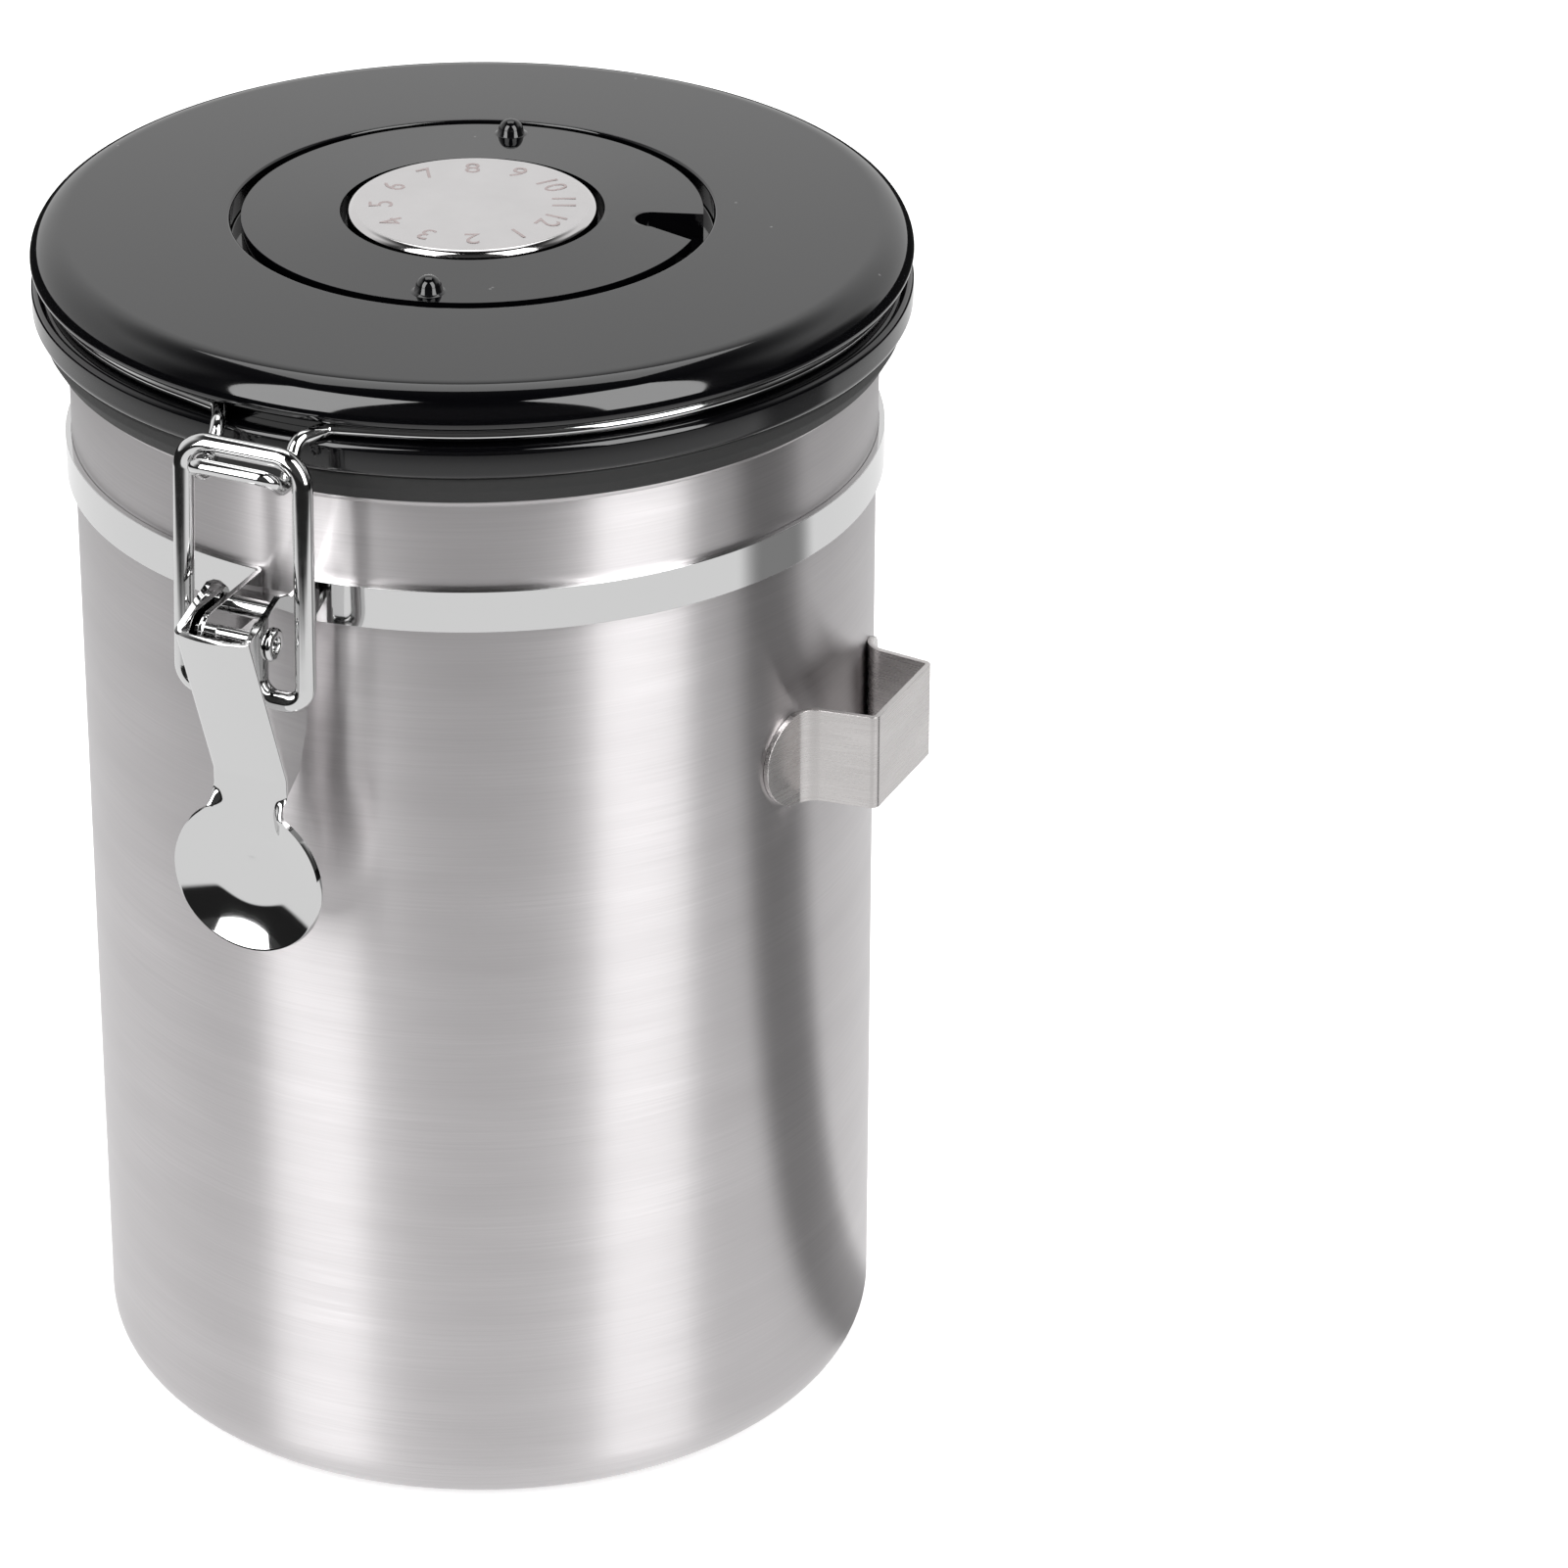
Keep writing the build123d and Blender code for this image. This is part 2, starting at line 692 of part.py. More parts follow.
with BuildPart() as lid_gasket:
    with BuildSketch(Plane.XZ):
        with BuildLine():
            Line((plug_r + fit_gap, gasket_top_z), (gasket_out_r, gasket_top_z))
            ThreePointArc(
                (gasket_out_r, gasket_top_z),
                (
                    (gasket_out_r + gasket_foot_r) / 2 + gasket_belly,
                    (gasket_top_z + gasket_foot_z) / 2,
                ),
                (gasket_foot_r, gasket_foot_z),
            )
            Polyline(
                (gasket_foot_r, gasket_foot_z),
                (gasket_foot_r - gasket_skirt_t, gasket_foot_z),
                (gasket_foot_r - gasket_skirt_t, gasket_seat_z),
                (gasket_lip_r, gasket_seat_z),
                (gasket_lip_r, gasket_seat_z - gasket_lip_drop + gasket_taper),
                (plug_r + fit_gap, gasket_seat_z - gasket_lip_drop),
                (plug_r + fit_gap, gasket_top_z),
            )
        make_face()
    revolve(axis=Axis.Z)
finish(lid_gasket, "lid_gasket")

# Dial: a pressed steel cap on a moulded core that snaps into the lid and keeps the ring down
cap_t = 0.6
cap_skirt_up = 1.8
cap_edge_r = 1.2
core_boss_r = 15.9
core_snap_r = 6.6
core_snap_h = 0.9
snap_gap = 0.1
dial_top_z = lid_top_z + dial_rise
cap_low_z = recess_z + cap_skirt_up
core_top_z = dial_top_z - cap_t - fit_gap
core_snap_z = recess_z - lid_wall - snap_gap

with BuildPart() as dial_cap:
    with BuildSketch(Plane.XY.offset(cap_low_z)):
        Circle(dial_r)
    extrude(amount=dial_top_z - cap_low_z)
    fillet(dial_cap.edges().group_by(Axis.Z)[-1], cap_edge_r)
    with BuildSketch(Plane.XY.offset(cap_low_z)):
        Circle(dial_r - cap_t)
    extrude(amount=core_top_z + fit_gap - cap_low_z, mode=Mode.SUBTRACT)
    fillet(
        dial_cap.edges().filter_by(GeomType.CIRCLE).filter_by(
            lambda e: abs(e.center().Z - core_top_z - fit_gap) < fit_gap
        ),
        cap_edge_r - cap_t,
    )
finish(dial_cap, "dial_cap")

with BuildPart() as dial_core:
    with BuildSketch(Plane.XZ):
        with BuildLine():
            Polyline(
                (0, core_top_z),
                (dial_r - cap_t - cap_edge_r, core_top_z),
                (dial_r - cap_t - fit_gap, core_top_z - cap_edge_r),
                (dial_r - cap_t - fit_gap, cap_low_z),
                (core_boss_r, cap_low_z),
                (core_boss_r, recess_z + fit_gap),
                (core_spigot_r, recess_z + fit_gap),
                (core_spigot_r, core_snap_z),
                (core_snap_r, core_snap_z),
                (core_spigot_r, core_snap_z - core_snap_h),
                (0, core_snap_z - core_snap_h),
                close=True,
            )
        make_face()
    revolve(axis=Axis.Z)
finish(dial_core, "dial_core")

# Date ring: a crowned ring turned by two studs, with a wedge notch that points at a numeral
ring_lip_r = 16.3
ring_lip_h = 1.2
ring_edge_r = 0.4
stud_r = 2.0
stud_h = 2.5
stud_inset = 3.7
stud_angles = (267.7, 88.6)
notch_share = 0.5
notch_in_w = 5.5
notch_side_share = (0.5, 0.075)
ring_low_z = recess_z + fit_gap
ring_top_z = recess_top_z + date_ring_crown
stud_low_z = recess_top_z - ring_edge_r
stud_ball_z = recess_top_z + stud_h - stud_r
stud_at_r = date_ring_r - stud_inset
notch_in_r = date_ring_r - (date_ring_r - date_ring_bore_r) * notch_share
notch_reach = date_ring_r + overrun - notch_in_r

with BuildPart() as date_ring:
    with BuildSketch(Plane.XZ):
        with BuildLine():
            Polyline(
                (ring_lip_r, ring_low_z),
                (date_ring_r, ring_low_z),
                (date_ring_r, recess_top_z),
                (date_ring_bore_r, ring_top_z),
                (date_ring_bore_r, recess_z + ring_lip_h),
                (ring_lip_r, recess_z + ring_lip_h),
                close=True,
            )
        make_face()
    revolve(axis=Axis.Z)
    ring_edges = date_ring.edges().filter_by(GeomType.CIRCLE).group_by(Axis.Z)
    fillet(ring_edges[-1] + ring_edges[-2], ring_edge_r)
    for stud_angle in stud_angles:
        turn = radians(stud_angle + date_ring_angle)
        stud_x = stud_at_r * cos(turn)
        stud_y = stud_at_r * sin(turn)
        with BuildSketch(Plane.XY.offset(stud_low_z)):
            with Locations((stud_x, stud_y)):
                Circle(stud_r)
        extrude(amount=stud_ball_z - stud_low_z)
        with Locations((stud_x, stud_y, stud_ball_z)):
            Sphere(stud_r)
    with BuildSketch(Plane.XY.offset(recess_z).rotated((0, 0, date_ring_angle))):
        with BuildLine():
            ThreePointArc(
                (notch_in_r, notch_in_w / 2),
                (notch_in_r - notch_in_w / 2, 0),
                (notch_in_r, -notch_in_w / 2),
            )
            Polyline(
                (notch_in_r, -notch_in_w / 2),
                (date_ring_r + overrun, -notch_in_w / 2 - notch_reach * notch_side_share[0]),
                (date_ring_r + overrun, notch_in_w / 2 + notch_reach * notch_side_share[1]),
                (notch_in_r, notch_in_w / 2),
            )
        make_face()
    extrude(amount=recess_depth + overrun, mode=Mode.SUBTRACT)
finish(date_ring, "date_ring")

# Vent valve under the lid: a body in the plug's floor, a soft flap, and a cap that stops it
valve_lip = 3.0
valve_flange_t = 1.4
valve_wall = 1.5
seat_t = 1.4
seat_up = 2.4
cup_h = 4.5
flap_r = 8.8
flap_t = 0.8
flap_lift = 0.8
flap_stem_d = 3.0
flap_stem_drop = 1.2
valve_hole_d = 2.4
valve_hole_at_r = 5.6
valve_hole_count = 6
valve_cap_t = 1.1
cap_hole_d = 2.0
cap_hole_at_r = 10.6
cap_hole_count = 8
pocket_r = 12.5
valve_flange_r = valve_r + valve_lip
valve_low_z = plug_floor_z - valve_flange_t
valve_seat_z = valve_low_z + seat_up
valve_seat_top_z = valve_seat_z + seat_t
valve_top_z = valve_seat_top_z + cup_h
cup_r = valve_r - valve_wall
flap_z = valve_seat_top_z + fit_gap
valve_cap_z = flap_z + flap_t + flap_lift + snap_gap

with BuildPart() as valve_body:
    with BuildSketch(Plane.XZ):
        with BuildLine():
            Polyline(
                (0, valve_seat_z),
                (pocket_r, valve_seat_z),
                (pocket_r, valve_low_z),
                (valve_flange_r, valve_low_z),
                (valve_flange_r, plug_floor_z - fit_gap),
                (valve_r, plug_floor_z - fit_gap),
                (valve_r, valve_top_z),
                (cup_r, valve_top_z),
                (cup_r, valve_seat_top_z),
                (0, valve_seat_top_z),
                close=True,
            )
        make_face()
    revolve(axis=Axis.Z)
    with BuildSketch(Plane.XY.offset(valve_seat_z)):
        Circle(flap_stem_d / 2 + snap_gap)
        with PolarLocations(valve_hole_at_r, valve_hole_count):
            Circle(valve_hole_d / 2)
    extrude(amount=seat_t, mode=Mode.SUBTRACT)
finish(valve_body, "valve_body")

with BuildPart() as valve_flap:
    with BuildSketch(Plane.XY.offset(flap_z)):
        Circle(flap_r)
    extrude(amount=flap_t)
    fillet(valve_flap.edges().group_by(Axis.Z)[-1], flap_t / 2)
    with BuildSketch(Plane.XY.offset(flap_z)):
        Circle(flap_stem_d / 2)
    extrude(amount=-flap_stem_drop)
finish(valve_flap, "valve_flap")

with BuildPart() as valve_cap:
    with BuildSketch(Plane.XY.offset(valve_cap_z)):
        Circle(cup_r - fit_gap)
        with PolarLocations(cap_hole_at_r, cap_hole_count):
            Circle(cap_hole_d / 2, mode=Mode.SUBTRACT)
    extrude(amount=valve_cap_t)
finish(valve_cap, "valve_cap")

# Felt filter and the pierced screen that holds it against the valve's seat
screen_t = 0.8
screen_up = 0.1
screen_hole_d = 1.8
screen_rows = ((0, 1), (4.0, 6), (8.0, 12))
screen_z = valve_low_z + screen_up
filter_z = screen_z + screen_t + fit_gap

with BuildPart() as valve_filter:
    with BuildSketch(Plane.XY.offset(filter_z)):
        Circle(pocket_r - snap_gap)
    extrude(amount=valve_seat_z - fit_gap - filter_z)
finish(valve_filter, "valve_filter")

with BuildPart() as valve_screen:
    with BuildSketch(Plane.XY.offset(screen_z)):
        Circle(pocket_r - fit_gap)
        for row_r, row_count in screen_rows:
            with PolarLocations(row_r, row_count):
                Circle(screen_hole_d / 2, mode=Mode.SUBTRACT)
    extrude(amount=screen_t)
finish(valve_screen, "valve_screen")
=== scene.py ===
# Coffee canister with a wire latch: camera, studio and the finish of every piece.
# Everything is in metres, in the model's own frame: +Z up, latch at -Y, scoop holder at +X.

import math

import bmesh
import bpy
from mathutils import Matrix, Vector


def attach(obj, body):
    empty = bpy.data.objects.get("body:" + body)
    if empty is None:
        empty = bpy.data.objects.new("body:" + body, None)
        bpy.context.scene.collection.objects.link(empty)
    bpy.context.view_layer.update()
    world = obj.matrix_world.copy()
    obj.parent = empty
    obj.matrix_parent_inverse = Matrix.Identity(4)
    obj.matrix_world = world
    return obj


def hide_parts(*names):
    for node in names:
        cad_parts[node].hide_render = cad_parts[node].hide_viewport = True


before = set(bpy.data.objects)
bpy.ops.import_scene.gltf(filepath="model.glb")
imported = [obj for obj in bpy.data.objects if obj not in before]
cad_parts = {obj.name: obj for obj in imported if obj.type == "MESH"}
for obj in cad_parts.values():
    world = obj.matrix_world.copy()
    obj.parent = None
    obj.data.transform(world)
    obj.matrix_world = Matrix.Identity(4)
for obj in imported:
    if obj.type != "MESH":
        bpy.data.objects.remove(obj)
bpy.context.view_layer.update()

MM = 0.001

# The photograph's view, fitted to the can: a long lens that looks down on it from the front right
IMAGE_PX = 1601
FOCAL_PX = 7018.07
VIEW_DISTANCE = 1060.7 * MM
VIEW_ELEVATION = 0.48075
VIEW_TARGET_Z = 90.55 * MM
VIEW_PAN = -0.043836
VIEW_TILT = 0.001797
VIEW_ROLL = 0.017446
VIEW_TURN = math.radians(27.0)
SENSOR_MM = 36.0

# Sizes of the real pieces, in millimetres, as in the model
CAN_R = 60.0
CAN_WALL = 0.8
CAN_Z = 171.2
BASE_CORNER_R = 8.0
NECK_R = 60.3
NECK_Z = (151.8, 152.8)
RIM_R = 60.4
BEAD_R = 1.0
SHEET = 0.9
BAND_Z = (149.6, 156.0)
BAND_R = 60.8
EAR_X = 3.95
LEVER_PIVOT = (76.0, 152.8)
LINK_PIVOT = (73.6, 142.8)
LINK_BAR = (72.0, 180.0)
LINK_D = 3.0
LINK_HALF_W = (9.75, 9.4)  # at its foot and at its bar
LEVER_W = 11.8
LID_R = 65.3
LID_TOP = 188.4
LID_SPLIT = 180.0
LID_LOW = 175.1
SLOT_R = 61.4
SLOT_TOP = 182.4
BAIL_R = 62.55
BAIL_Z = 181.2
BAIL_D = 2.2
HINGE = (69.6, 171.6)
FIT = 0.05
RECESS_R = 35.8
RECESS_Z = 185.2
RECESS_TOP = 188.9
RING_R = 34.1
RING_BORE_R = 19.55
RING_TOP = 189.35
DIAL_R = 18.5
DIAL_TOP = 190.2
DIAL_LOW = 187.0


def out(radius, height, across=0.0):
    """A point in front of the can's axis, towards the latch, from millimetres."""
    return Vector((across, -radius, height)) * MM


def smoothstep(low, high, value):
    t = min(max((value - low) / (high - low), 0.0), 1.0)
    return t * t * (3 - 2 * t)


# Materials

def linear(hex_colour):
    """An sRGB hex colour as linear red, green, blue and an alpha of 1."""
    channels = [int(hex_colour[i : i + 2], 16) / 255 for i in (1, 3, 5)]
    return (*[c / 12.92 if c <= 0.04045 else ((c + 0.055) / 1.055) ** 2.4 for c in channels], 1.0)


def add(tree, kind, inputs=None, **settings):
    """Adds a node, with values or links for its inputs."""
    made = tree.nodes.new(kind)
    for key, value in settings.items():
        setattr(made, key, value)
    for socket, value in (inputs or {}).items():
        if isinstance(value, bpy.types.NodeSocket):
            tree.links.new(value, made.inputs[socket])
        else:
            made.inputs[socket].default_value = value
    return made


def new_material(name):
    material = bpy.data.materials.new(name)
    material.use_nodes = True
    tree = material.node_tree
    shader = tree.nodes["Principled BSDF"]
    place = add(tree, "ShaderNodeTexCoord").outputs["Object"]
    return material, tree, shader, place


def stretched(tree, place, period_mm, turn=(0.0, 0.0, 0.0), detail=3.0, roughness=0.55):
    """Noise whose grain is as long as given, in millimetres, along each axis."""
    mapped = add(
        tree,
        "ShaderNodeMapping",
        {"Vector": place, "Rotation": turn, "Scale": [1 / (p * MM) for p in period_mm]},
    )
    return add(
        tree,
        "ShaderNodeTexNoise",
        {"Vector": mapped.outputs["Vector"], "Scale": 1.0, "Detail": detail, "Roughness": roughness},
    ).outputs["Fac"]


def ranged(tree, value, low, high):
    """Maps a 0 to 1 pattern onto a range."""
    return add(tree, "ShaderNodeMapRange", {"Value": value, "To Min": low, "To Max": high}).outputs["Result"]


def tinted(tree, value, dark, light):
    """Mixes two sRGB colours by a pattern."""
    mix = add(tree, "ShaderNodeMix", {0: value, 6: linear(dark), 7: linear(light)}, data_type="RGBA")
    return mix.outputs[2]


def bumped(tree, shader, height, depth_mm, strength=1.0):
    bump = add(tree, "ShaderNodeBump", {"Height": height, "Distance": depth_mm * MM, "Strength": strength})
    tree.links.new(bump.outputs["Normal"], shader.inputs["Normal"])


def set_shader(shader, **values):
    for socket, value in values.items():
        shader.inputs[socket.replace("_", " ")].default_value = value


def brushed_stainless(name, grain_mm, dark, light, anisotropic, rough=(0.30, 0.42), lines=0.004):
    """Stainless sheet brushed with a belt: fine parallel scratches that smear reflections across them."""
    material, tree, shader, place = new_material(name)
    scratches = stretched(tree, place, grain_mm)
    broad = stretched(tree, place, [30 * p if p < 1 else 2 * p for p in grain_mm], detail=2.0)
    both = add(
        tree, "ShaderNodeMath", {0: scratches, 1: broad, 2: 0.5}, operation="MULTIPLY_ADD"
    ).outputs["Value"]
    shade = ranged(tree, both, -0.1, 1.0)
    tree.links.new(tinted(tree, shade, dark, light), shader.inputs["Base Color"])
    tree.links.new(ranged(tree, scratches, *rough), shader.inputs["Roughness"])
    set_shader(shader, Metallic=1.0, Anisotropic=anisotropic, Anisotropic_Rotation=0.25)
    bumped(tree, shader, scratches, lines)
    return material, tree, shader


def body_stainless():
    """The can is brushed round and round, so its scratches are level and light spreads up and down."""
    material, tree, shader = brushed_stainless(
        "brushed_stainless_can", (22.0, 22.0, 0.30), "#AFACAD", "#CFCCCD", 0.95, rough=(0.26, 0.36)
    )
    tangent = add(tree, "ShaderNodeTangent", direction_type="RADIAL", axis="Z")
    tree.links.new(tangent.outputs["Tangent"], shader.inputs["Tangent"])
    return material


def holder_stainless():
    """The holder's strip is brushed along its length, which runs level round its bends."""
    return brushed_stainless(
        "satin_stainless_strip", (9.0, 9.0, 0.22), "#9D9998", "#D0CDCC", 0.5, rough=(0.20, 0.36)
    )[0]


def polished_stainless(name, colour="#CDCDCD", rough=0.05, ripple_mm=7.0, ripple=0.01):
    """Bright polished steel: a mirror with the faint ripple that rolling and pressing leave."""
    material, tree, shader, place = new_material(name)
    wave = stretched(tree, place, (ripple_mm,) * 3, detail=1.0)
    haze = stretched(tree, place, (2.5,) * 3, detail=4.0)
    tree.links.new(ranged(tree, haze, rough * 0.5, rough * 1.7), shader.inputs["Roughness"])
    set_shader(shader, Base_Color=linear(colour), Metallic=1.0)
    bumped(tree, shader, wave, ripple)
    return material


def gloss_abs():
    """Injection-moulded black ABS: a deep gloss with a trace of handling haze and dust."""
    material, tree, shader, place = new_material("gloss_black_abs")
    haze = stretched(tree, place, (14.0,) * 3, detail=5.0)
    dust = add(tree, "ShaderNodeTexVoronoi", {"Vector": place, "Scale": 1 / (9 * MM)})
    speck = add(
        tree,
        "ShaderNodeMapRange",
        {
            "Value": dust.outputs["Distance"],
            "From Min": 0.012,
            "From Max": 0.03,
            "To Min": 1.0,
            "To Max": 0.0,
        },
    ).outputs["Result"]
    tree.links.new(tinted(tree, speck, "#030304", "#5A5A5A"), shader.inputs["Base Color"])
    tree.links.new(ranged(tree, haze, 0.035, 0.085), shader.inputs["Roughness"])
    set_shader(shader, IOR=1.54)
    return material


def silicone():
    """Black silicone rubber, moulded with a matte skin that catches a soft broad light."""
    material, tree, shader, place = new_material("matte_black_silicone")
    skin = stretched(tree, place, (0.6,) * 3, detail=4.0)
    tree.links.new(tinted(tree, skin, "#121212", "#1E1E1E"), shader.inputs["Base Color"])
    tree.links.new(ranged(tree, skin, 0.52, 0.68), shader.inputs["Roughness"])
    set_shader(shader, IOR=1.41)
    bumped(tree, shader, skin, 0.02)
    return material


def dial_steel():
    """The dial cap: a pale, even, blasted face, polished where it turns down at the edge."""
    material, tree, shader, place = new_material("satin_steel_dial")
    cloud = stretched(tree, place, (6.0,) * 3, detail=3.0)
    tree.links.new(tinted(tree, cloud, "#C4C2C2", "#CECCCC"), shader.inputs["Base Color"])
    level = add(tree, "ShaderNodeVectorMath", {0: place, 1: (1, 1, 0)}, operation="MULTIPLY")
    radius = add(
        tree, "ShaderNodeVectorMath", {0: level.outputs["Vector"]}, operation="LENGTH"
    ).outputs["Value"]
    rough = add(
        tree,
        "ShaderNodeMapRange",
        {
            "Value": radius,
            "From Min": (DIAL_R - 1.2) * MM,
            "From Max": (DIAL_R - 0.8) * MM,
            "To Min": 0.30,
            "To Max": 0.09,
        },
    ).outputs["Result"]
    tree.links.new(rough, shader.inputs["Roughness"])
    set_shader(shader, Metallic=1.0)
    return material


def etched_mark():
    """Laser-marked steel: the numerals are a warm grey oxide, dull beside the bright face."""
    material, tree, shader, place = new_material("laser_marked_steel")
    burn = stretched(tree, place, (0.4,) * 3, detail=4.0)
    tree.links.new(tinted(tree, burn, "#928686", "#ABA09F"), shader.inputs["Base Color"])
    tree.links.new(ranged(tree, burn, 0.45, 0.6), shader.inputs["Roughness"])
    set_shader(shader, Metallic=0.6)
    return material


def valve_plastic():
    """Black polypropylene with a fine spark-eroded texture, as inside the lid."""
    material, tree, shader, place = new_material("textured_black_pp")
    texture = stretched(tree, place, (0.5,) * 3, detail=5.0)
    tree.links.new(tinted(tree, texture, "#0E0E0F", "#191919"), shader.inputs["Base Color"])
    tree.links.new(ranged(tree, texture, 0.38, 0.55), shader.inputs["Roughness"])
    bumped(tree, shader, texture, 0.015)
    return material


def flap_silicone():
    """Pale silicone for the valve's flap, milky and a little soft to light."""
    material, tree, shader, place = new_material("milky_silicone")
    cloud = stretched(tree, place, (1.5,) * 3, detail=3.0)
    tree.links.new(tinted(tree, cloud, "#B8B8B0", "#CDCDC6"), shader.inputs["Base Color"])
    tree.links.new(ranged(tree, cloud, 0.4, 0.55), shader.inputs["Roughness"])
    set_shader(shader, Subsurface_Weight=0.3, Subsurface_Scale=0.002)
    return material


def filter_felt():
    """White needled felt: a mat of short fibres."""
    material, tree, shader, place = new_material("needled_felt")
    fibres = stretched(tree, place, (0.25, 0.25, 0.25), detail=6.0, roughness=0.7)
    tree.links.new(tinted(tree, fibres, "#B9B4A6", "#E6E2D6"), shader.inputs["Base Color"])
    tree.links.new(ranged(tree, fibres, 0.8, 0.95), shader.inputs["Roughness"])
    bumped(tree, shader, fibres, 0.08)
    return material


BODY_STEEL = body_stainless()
STRIP_STEEL = holder_stainless()
MIRROR_STEEL = polished_stainless("polished_stainless_sheet")
WIRE_STEEL = polished_stainless("drawn_bright_wire", "#CFCFCF", rough=0.07, ripple_mm=12.0, ripple=0.006)
LID_BLACK = gloss_abs()
SEAL_BLACK = silicone()
DIAL_STEEL = dial_steel()
MARK_GREY = etched_mark()
VALVE_BLACK = valve_plastic()
FLAP_GREY = flap_silicone()
FELT_WHITE = filter_felt()


# Making pieces

def add_piece(name, mesh, material, body, replaced, sharp_deg=32.0):
    """Puts a mesh in the scene as a piece that rides on a body and stands for its CAD nodes."""
    mesh.shade_smooth()
    mesh.set_sharp_from_angle(angle=math.radians(sharp_deg))
    mesh.materials.clear()
    mesh.materials.append(material)
    piece = bpy.data.objects.new(name, mesh)
    bpy.context.scene.collection.objects.link(piece)
    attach(piece, body)
    if replaced:
        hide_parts(*replaced)
    return piece


def weigh_normals(piece):
    """Keeps wide flat faces flat to the light beside their small rounded edges."""
    weighted = piece.modifiers.new("flat_faces", "WEIGHTED_NORMAL")
    weighted.keep_sharp = True
    weighted.weight = 90


def mesh_from(bm, name):
    mesh = bpy.data.meshes.new(name)
    bm.to_mesh(mesh)
    bm.free()
    return mesh


def open_outline(corners):
    """A bmesh line through (x, y, z, corner radius) in millimetres, with its corners rounded."""
    bm = bmesh.new()
    points = [bm.verts.new(Vector(corner[:3]) * MM) for corner in corners]
    for first, second in zip(points, points[1:]):
        bm.edges.new((first, second))
    for point, corner in zip(points, corners):
        if corner[3]:
            round_corner(bm, point, corner[3])
    return bm


def round_corner(bm, point, radius):
    """Rounds the corner at a point to a radius in millimetres."""
    sides = [edge.other_vert(point).co - point.co for edge in point.link_edges]
    half = sides[0].angle(sides[1]) / 2
    bmesh.ops.bevel(
        bm,
        geom=[point],
        affect="VERTICES",
        offset=radius * MM / math.tan(half),
        offset_type="ABSOLUTE",
        segments=max(4, min(14, round(4 + radius * 3))),
        profile=0.5,
        material=-1,
    )


def turned(name, corners, steps, material, body, replaced, closed=True, place=None):
    """Spins an outline of (radius, height, corner radius) in millimetres round the can's axis.

    The outline is a loop, or else runs from the axis to the axis. A place moves what was spun.
    """
    corners = [(r, 0, z, corner) for r, z, corner in corners]
    bm = open_outline(corners + corners[:1] if closed else corners)
    bmesh.ops.remove_doubles(bm, verts=bm.verts[:], dist=0.001 * MM)
    bmesh.ops.spin(
        bm,
        geom=bm.edges[:] + bm.verts[:],
        cent=(0, 0, 0),
        axis=(0, 0, 1),
        angle=2 * math.pi,
        steps=steps,
        use_merge=True,
    )
    bmesh.ops.remove_doubles(bm, verts=bm.verts[:], dist=0.001 * MM)
    bmesh.ops.recalc_face_normals(bm, faces=bm.faces[:])
    if place:
        bmesh.ops.transform(bm, matrix=place, verts=bm.verts[:])
    piece = add_piece(name, mesh_from(bm, name), material, body, replaced)
    weigh_normals(piece)
    return piece


def line_points(bm):
    """The points along a bmesh line, in order, which may be closed."""
    ends = [v for v in bm.verts if len(v.link_edges) == 1]
    here = ends[0] if ends else bm.verts[:][0]
    line, last = [here], None
    while True:
        onward = [e for e in here.link_edges if e is not last]
        if not onward or onward[0].other_vert(here) is line[0]:
            break
        last = onward[0]
        here = last.other_vert(here)
        line.append(here)
    points = [v.co.copy() for v in line]
    bm.free()
    return points


def along(points, share):
    """The point a share of the way along a line of points."""
    points = [Vector(point) for point in points]
    lengths = [(q - p).length for p, q in zip(points, points[1:])]
    left = share * sum(lengths)
    for first, second, length in zip(points, points[1:], lengths):
        if left <= length:
            return first.lerp(second, left / length)
        left -= length
    return points[-1]


def wire(name, corners, diameter, material, body, replaced, closed=False):
    """A round wire through (x, y, z, bend radius) in millimetres."""
    bm = open_outline(corners)
    if closed:
        bmesh.ops.remove_doubles(bm, verts=bm.verts[:], dist=0.01 * MM)
    line = line_points(bm)
    curve = bpy.data.curves.new(name, "CURVE")
    curve.dimensions = "3D"
    curve.bevel_depth = diameter / 2 * MM
    curve.bevel_resolution = 7
    curve.use_fill_caps = True
    spline = curve.splines.new("POLY")
    spline.points.add(len(line) - 1)
    for point, spot in zip(spline.points, line):
        point.co = (*spot, 1)
    spline.use_cyclic_u = closed
    holder = bpy.data.objects.new(name, curve)
    mesh = bpy.data.meshes.new_from_object(holder)
    bpy.data.objects.remove(holder)
    bpy.data.curves.remove(curve)
    return add_piece(name, mesh, material, body, replaced, sharp_deg=50.0)


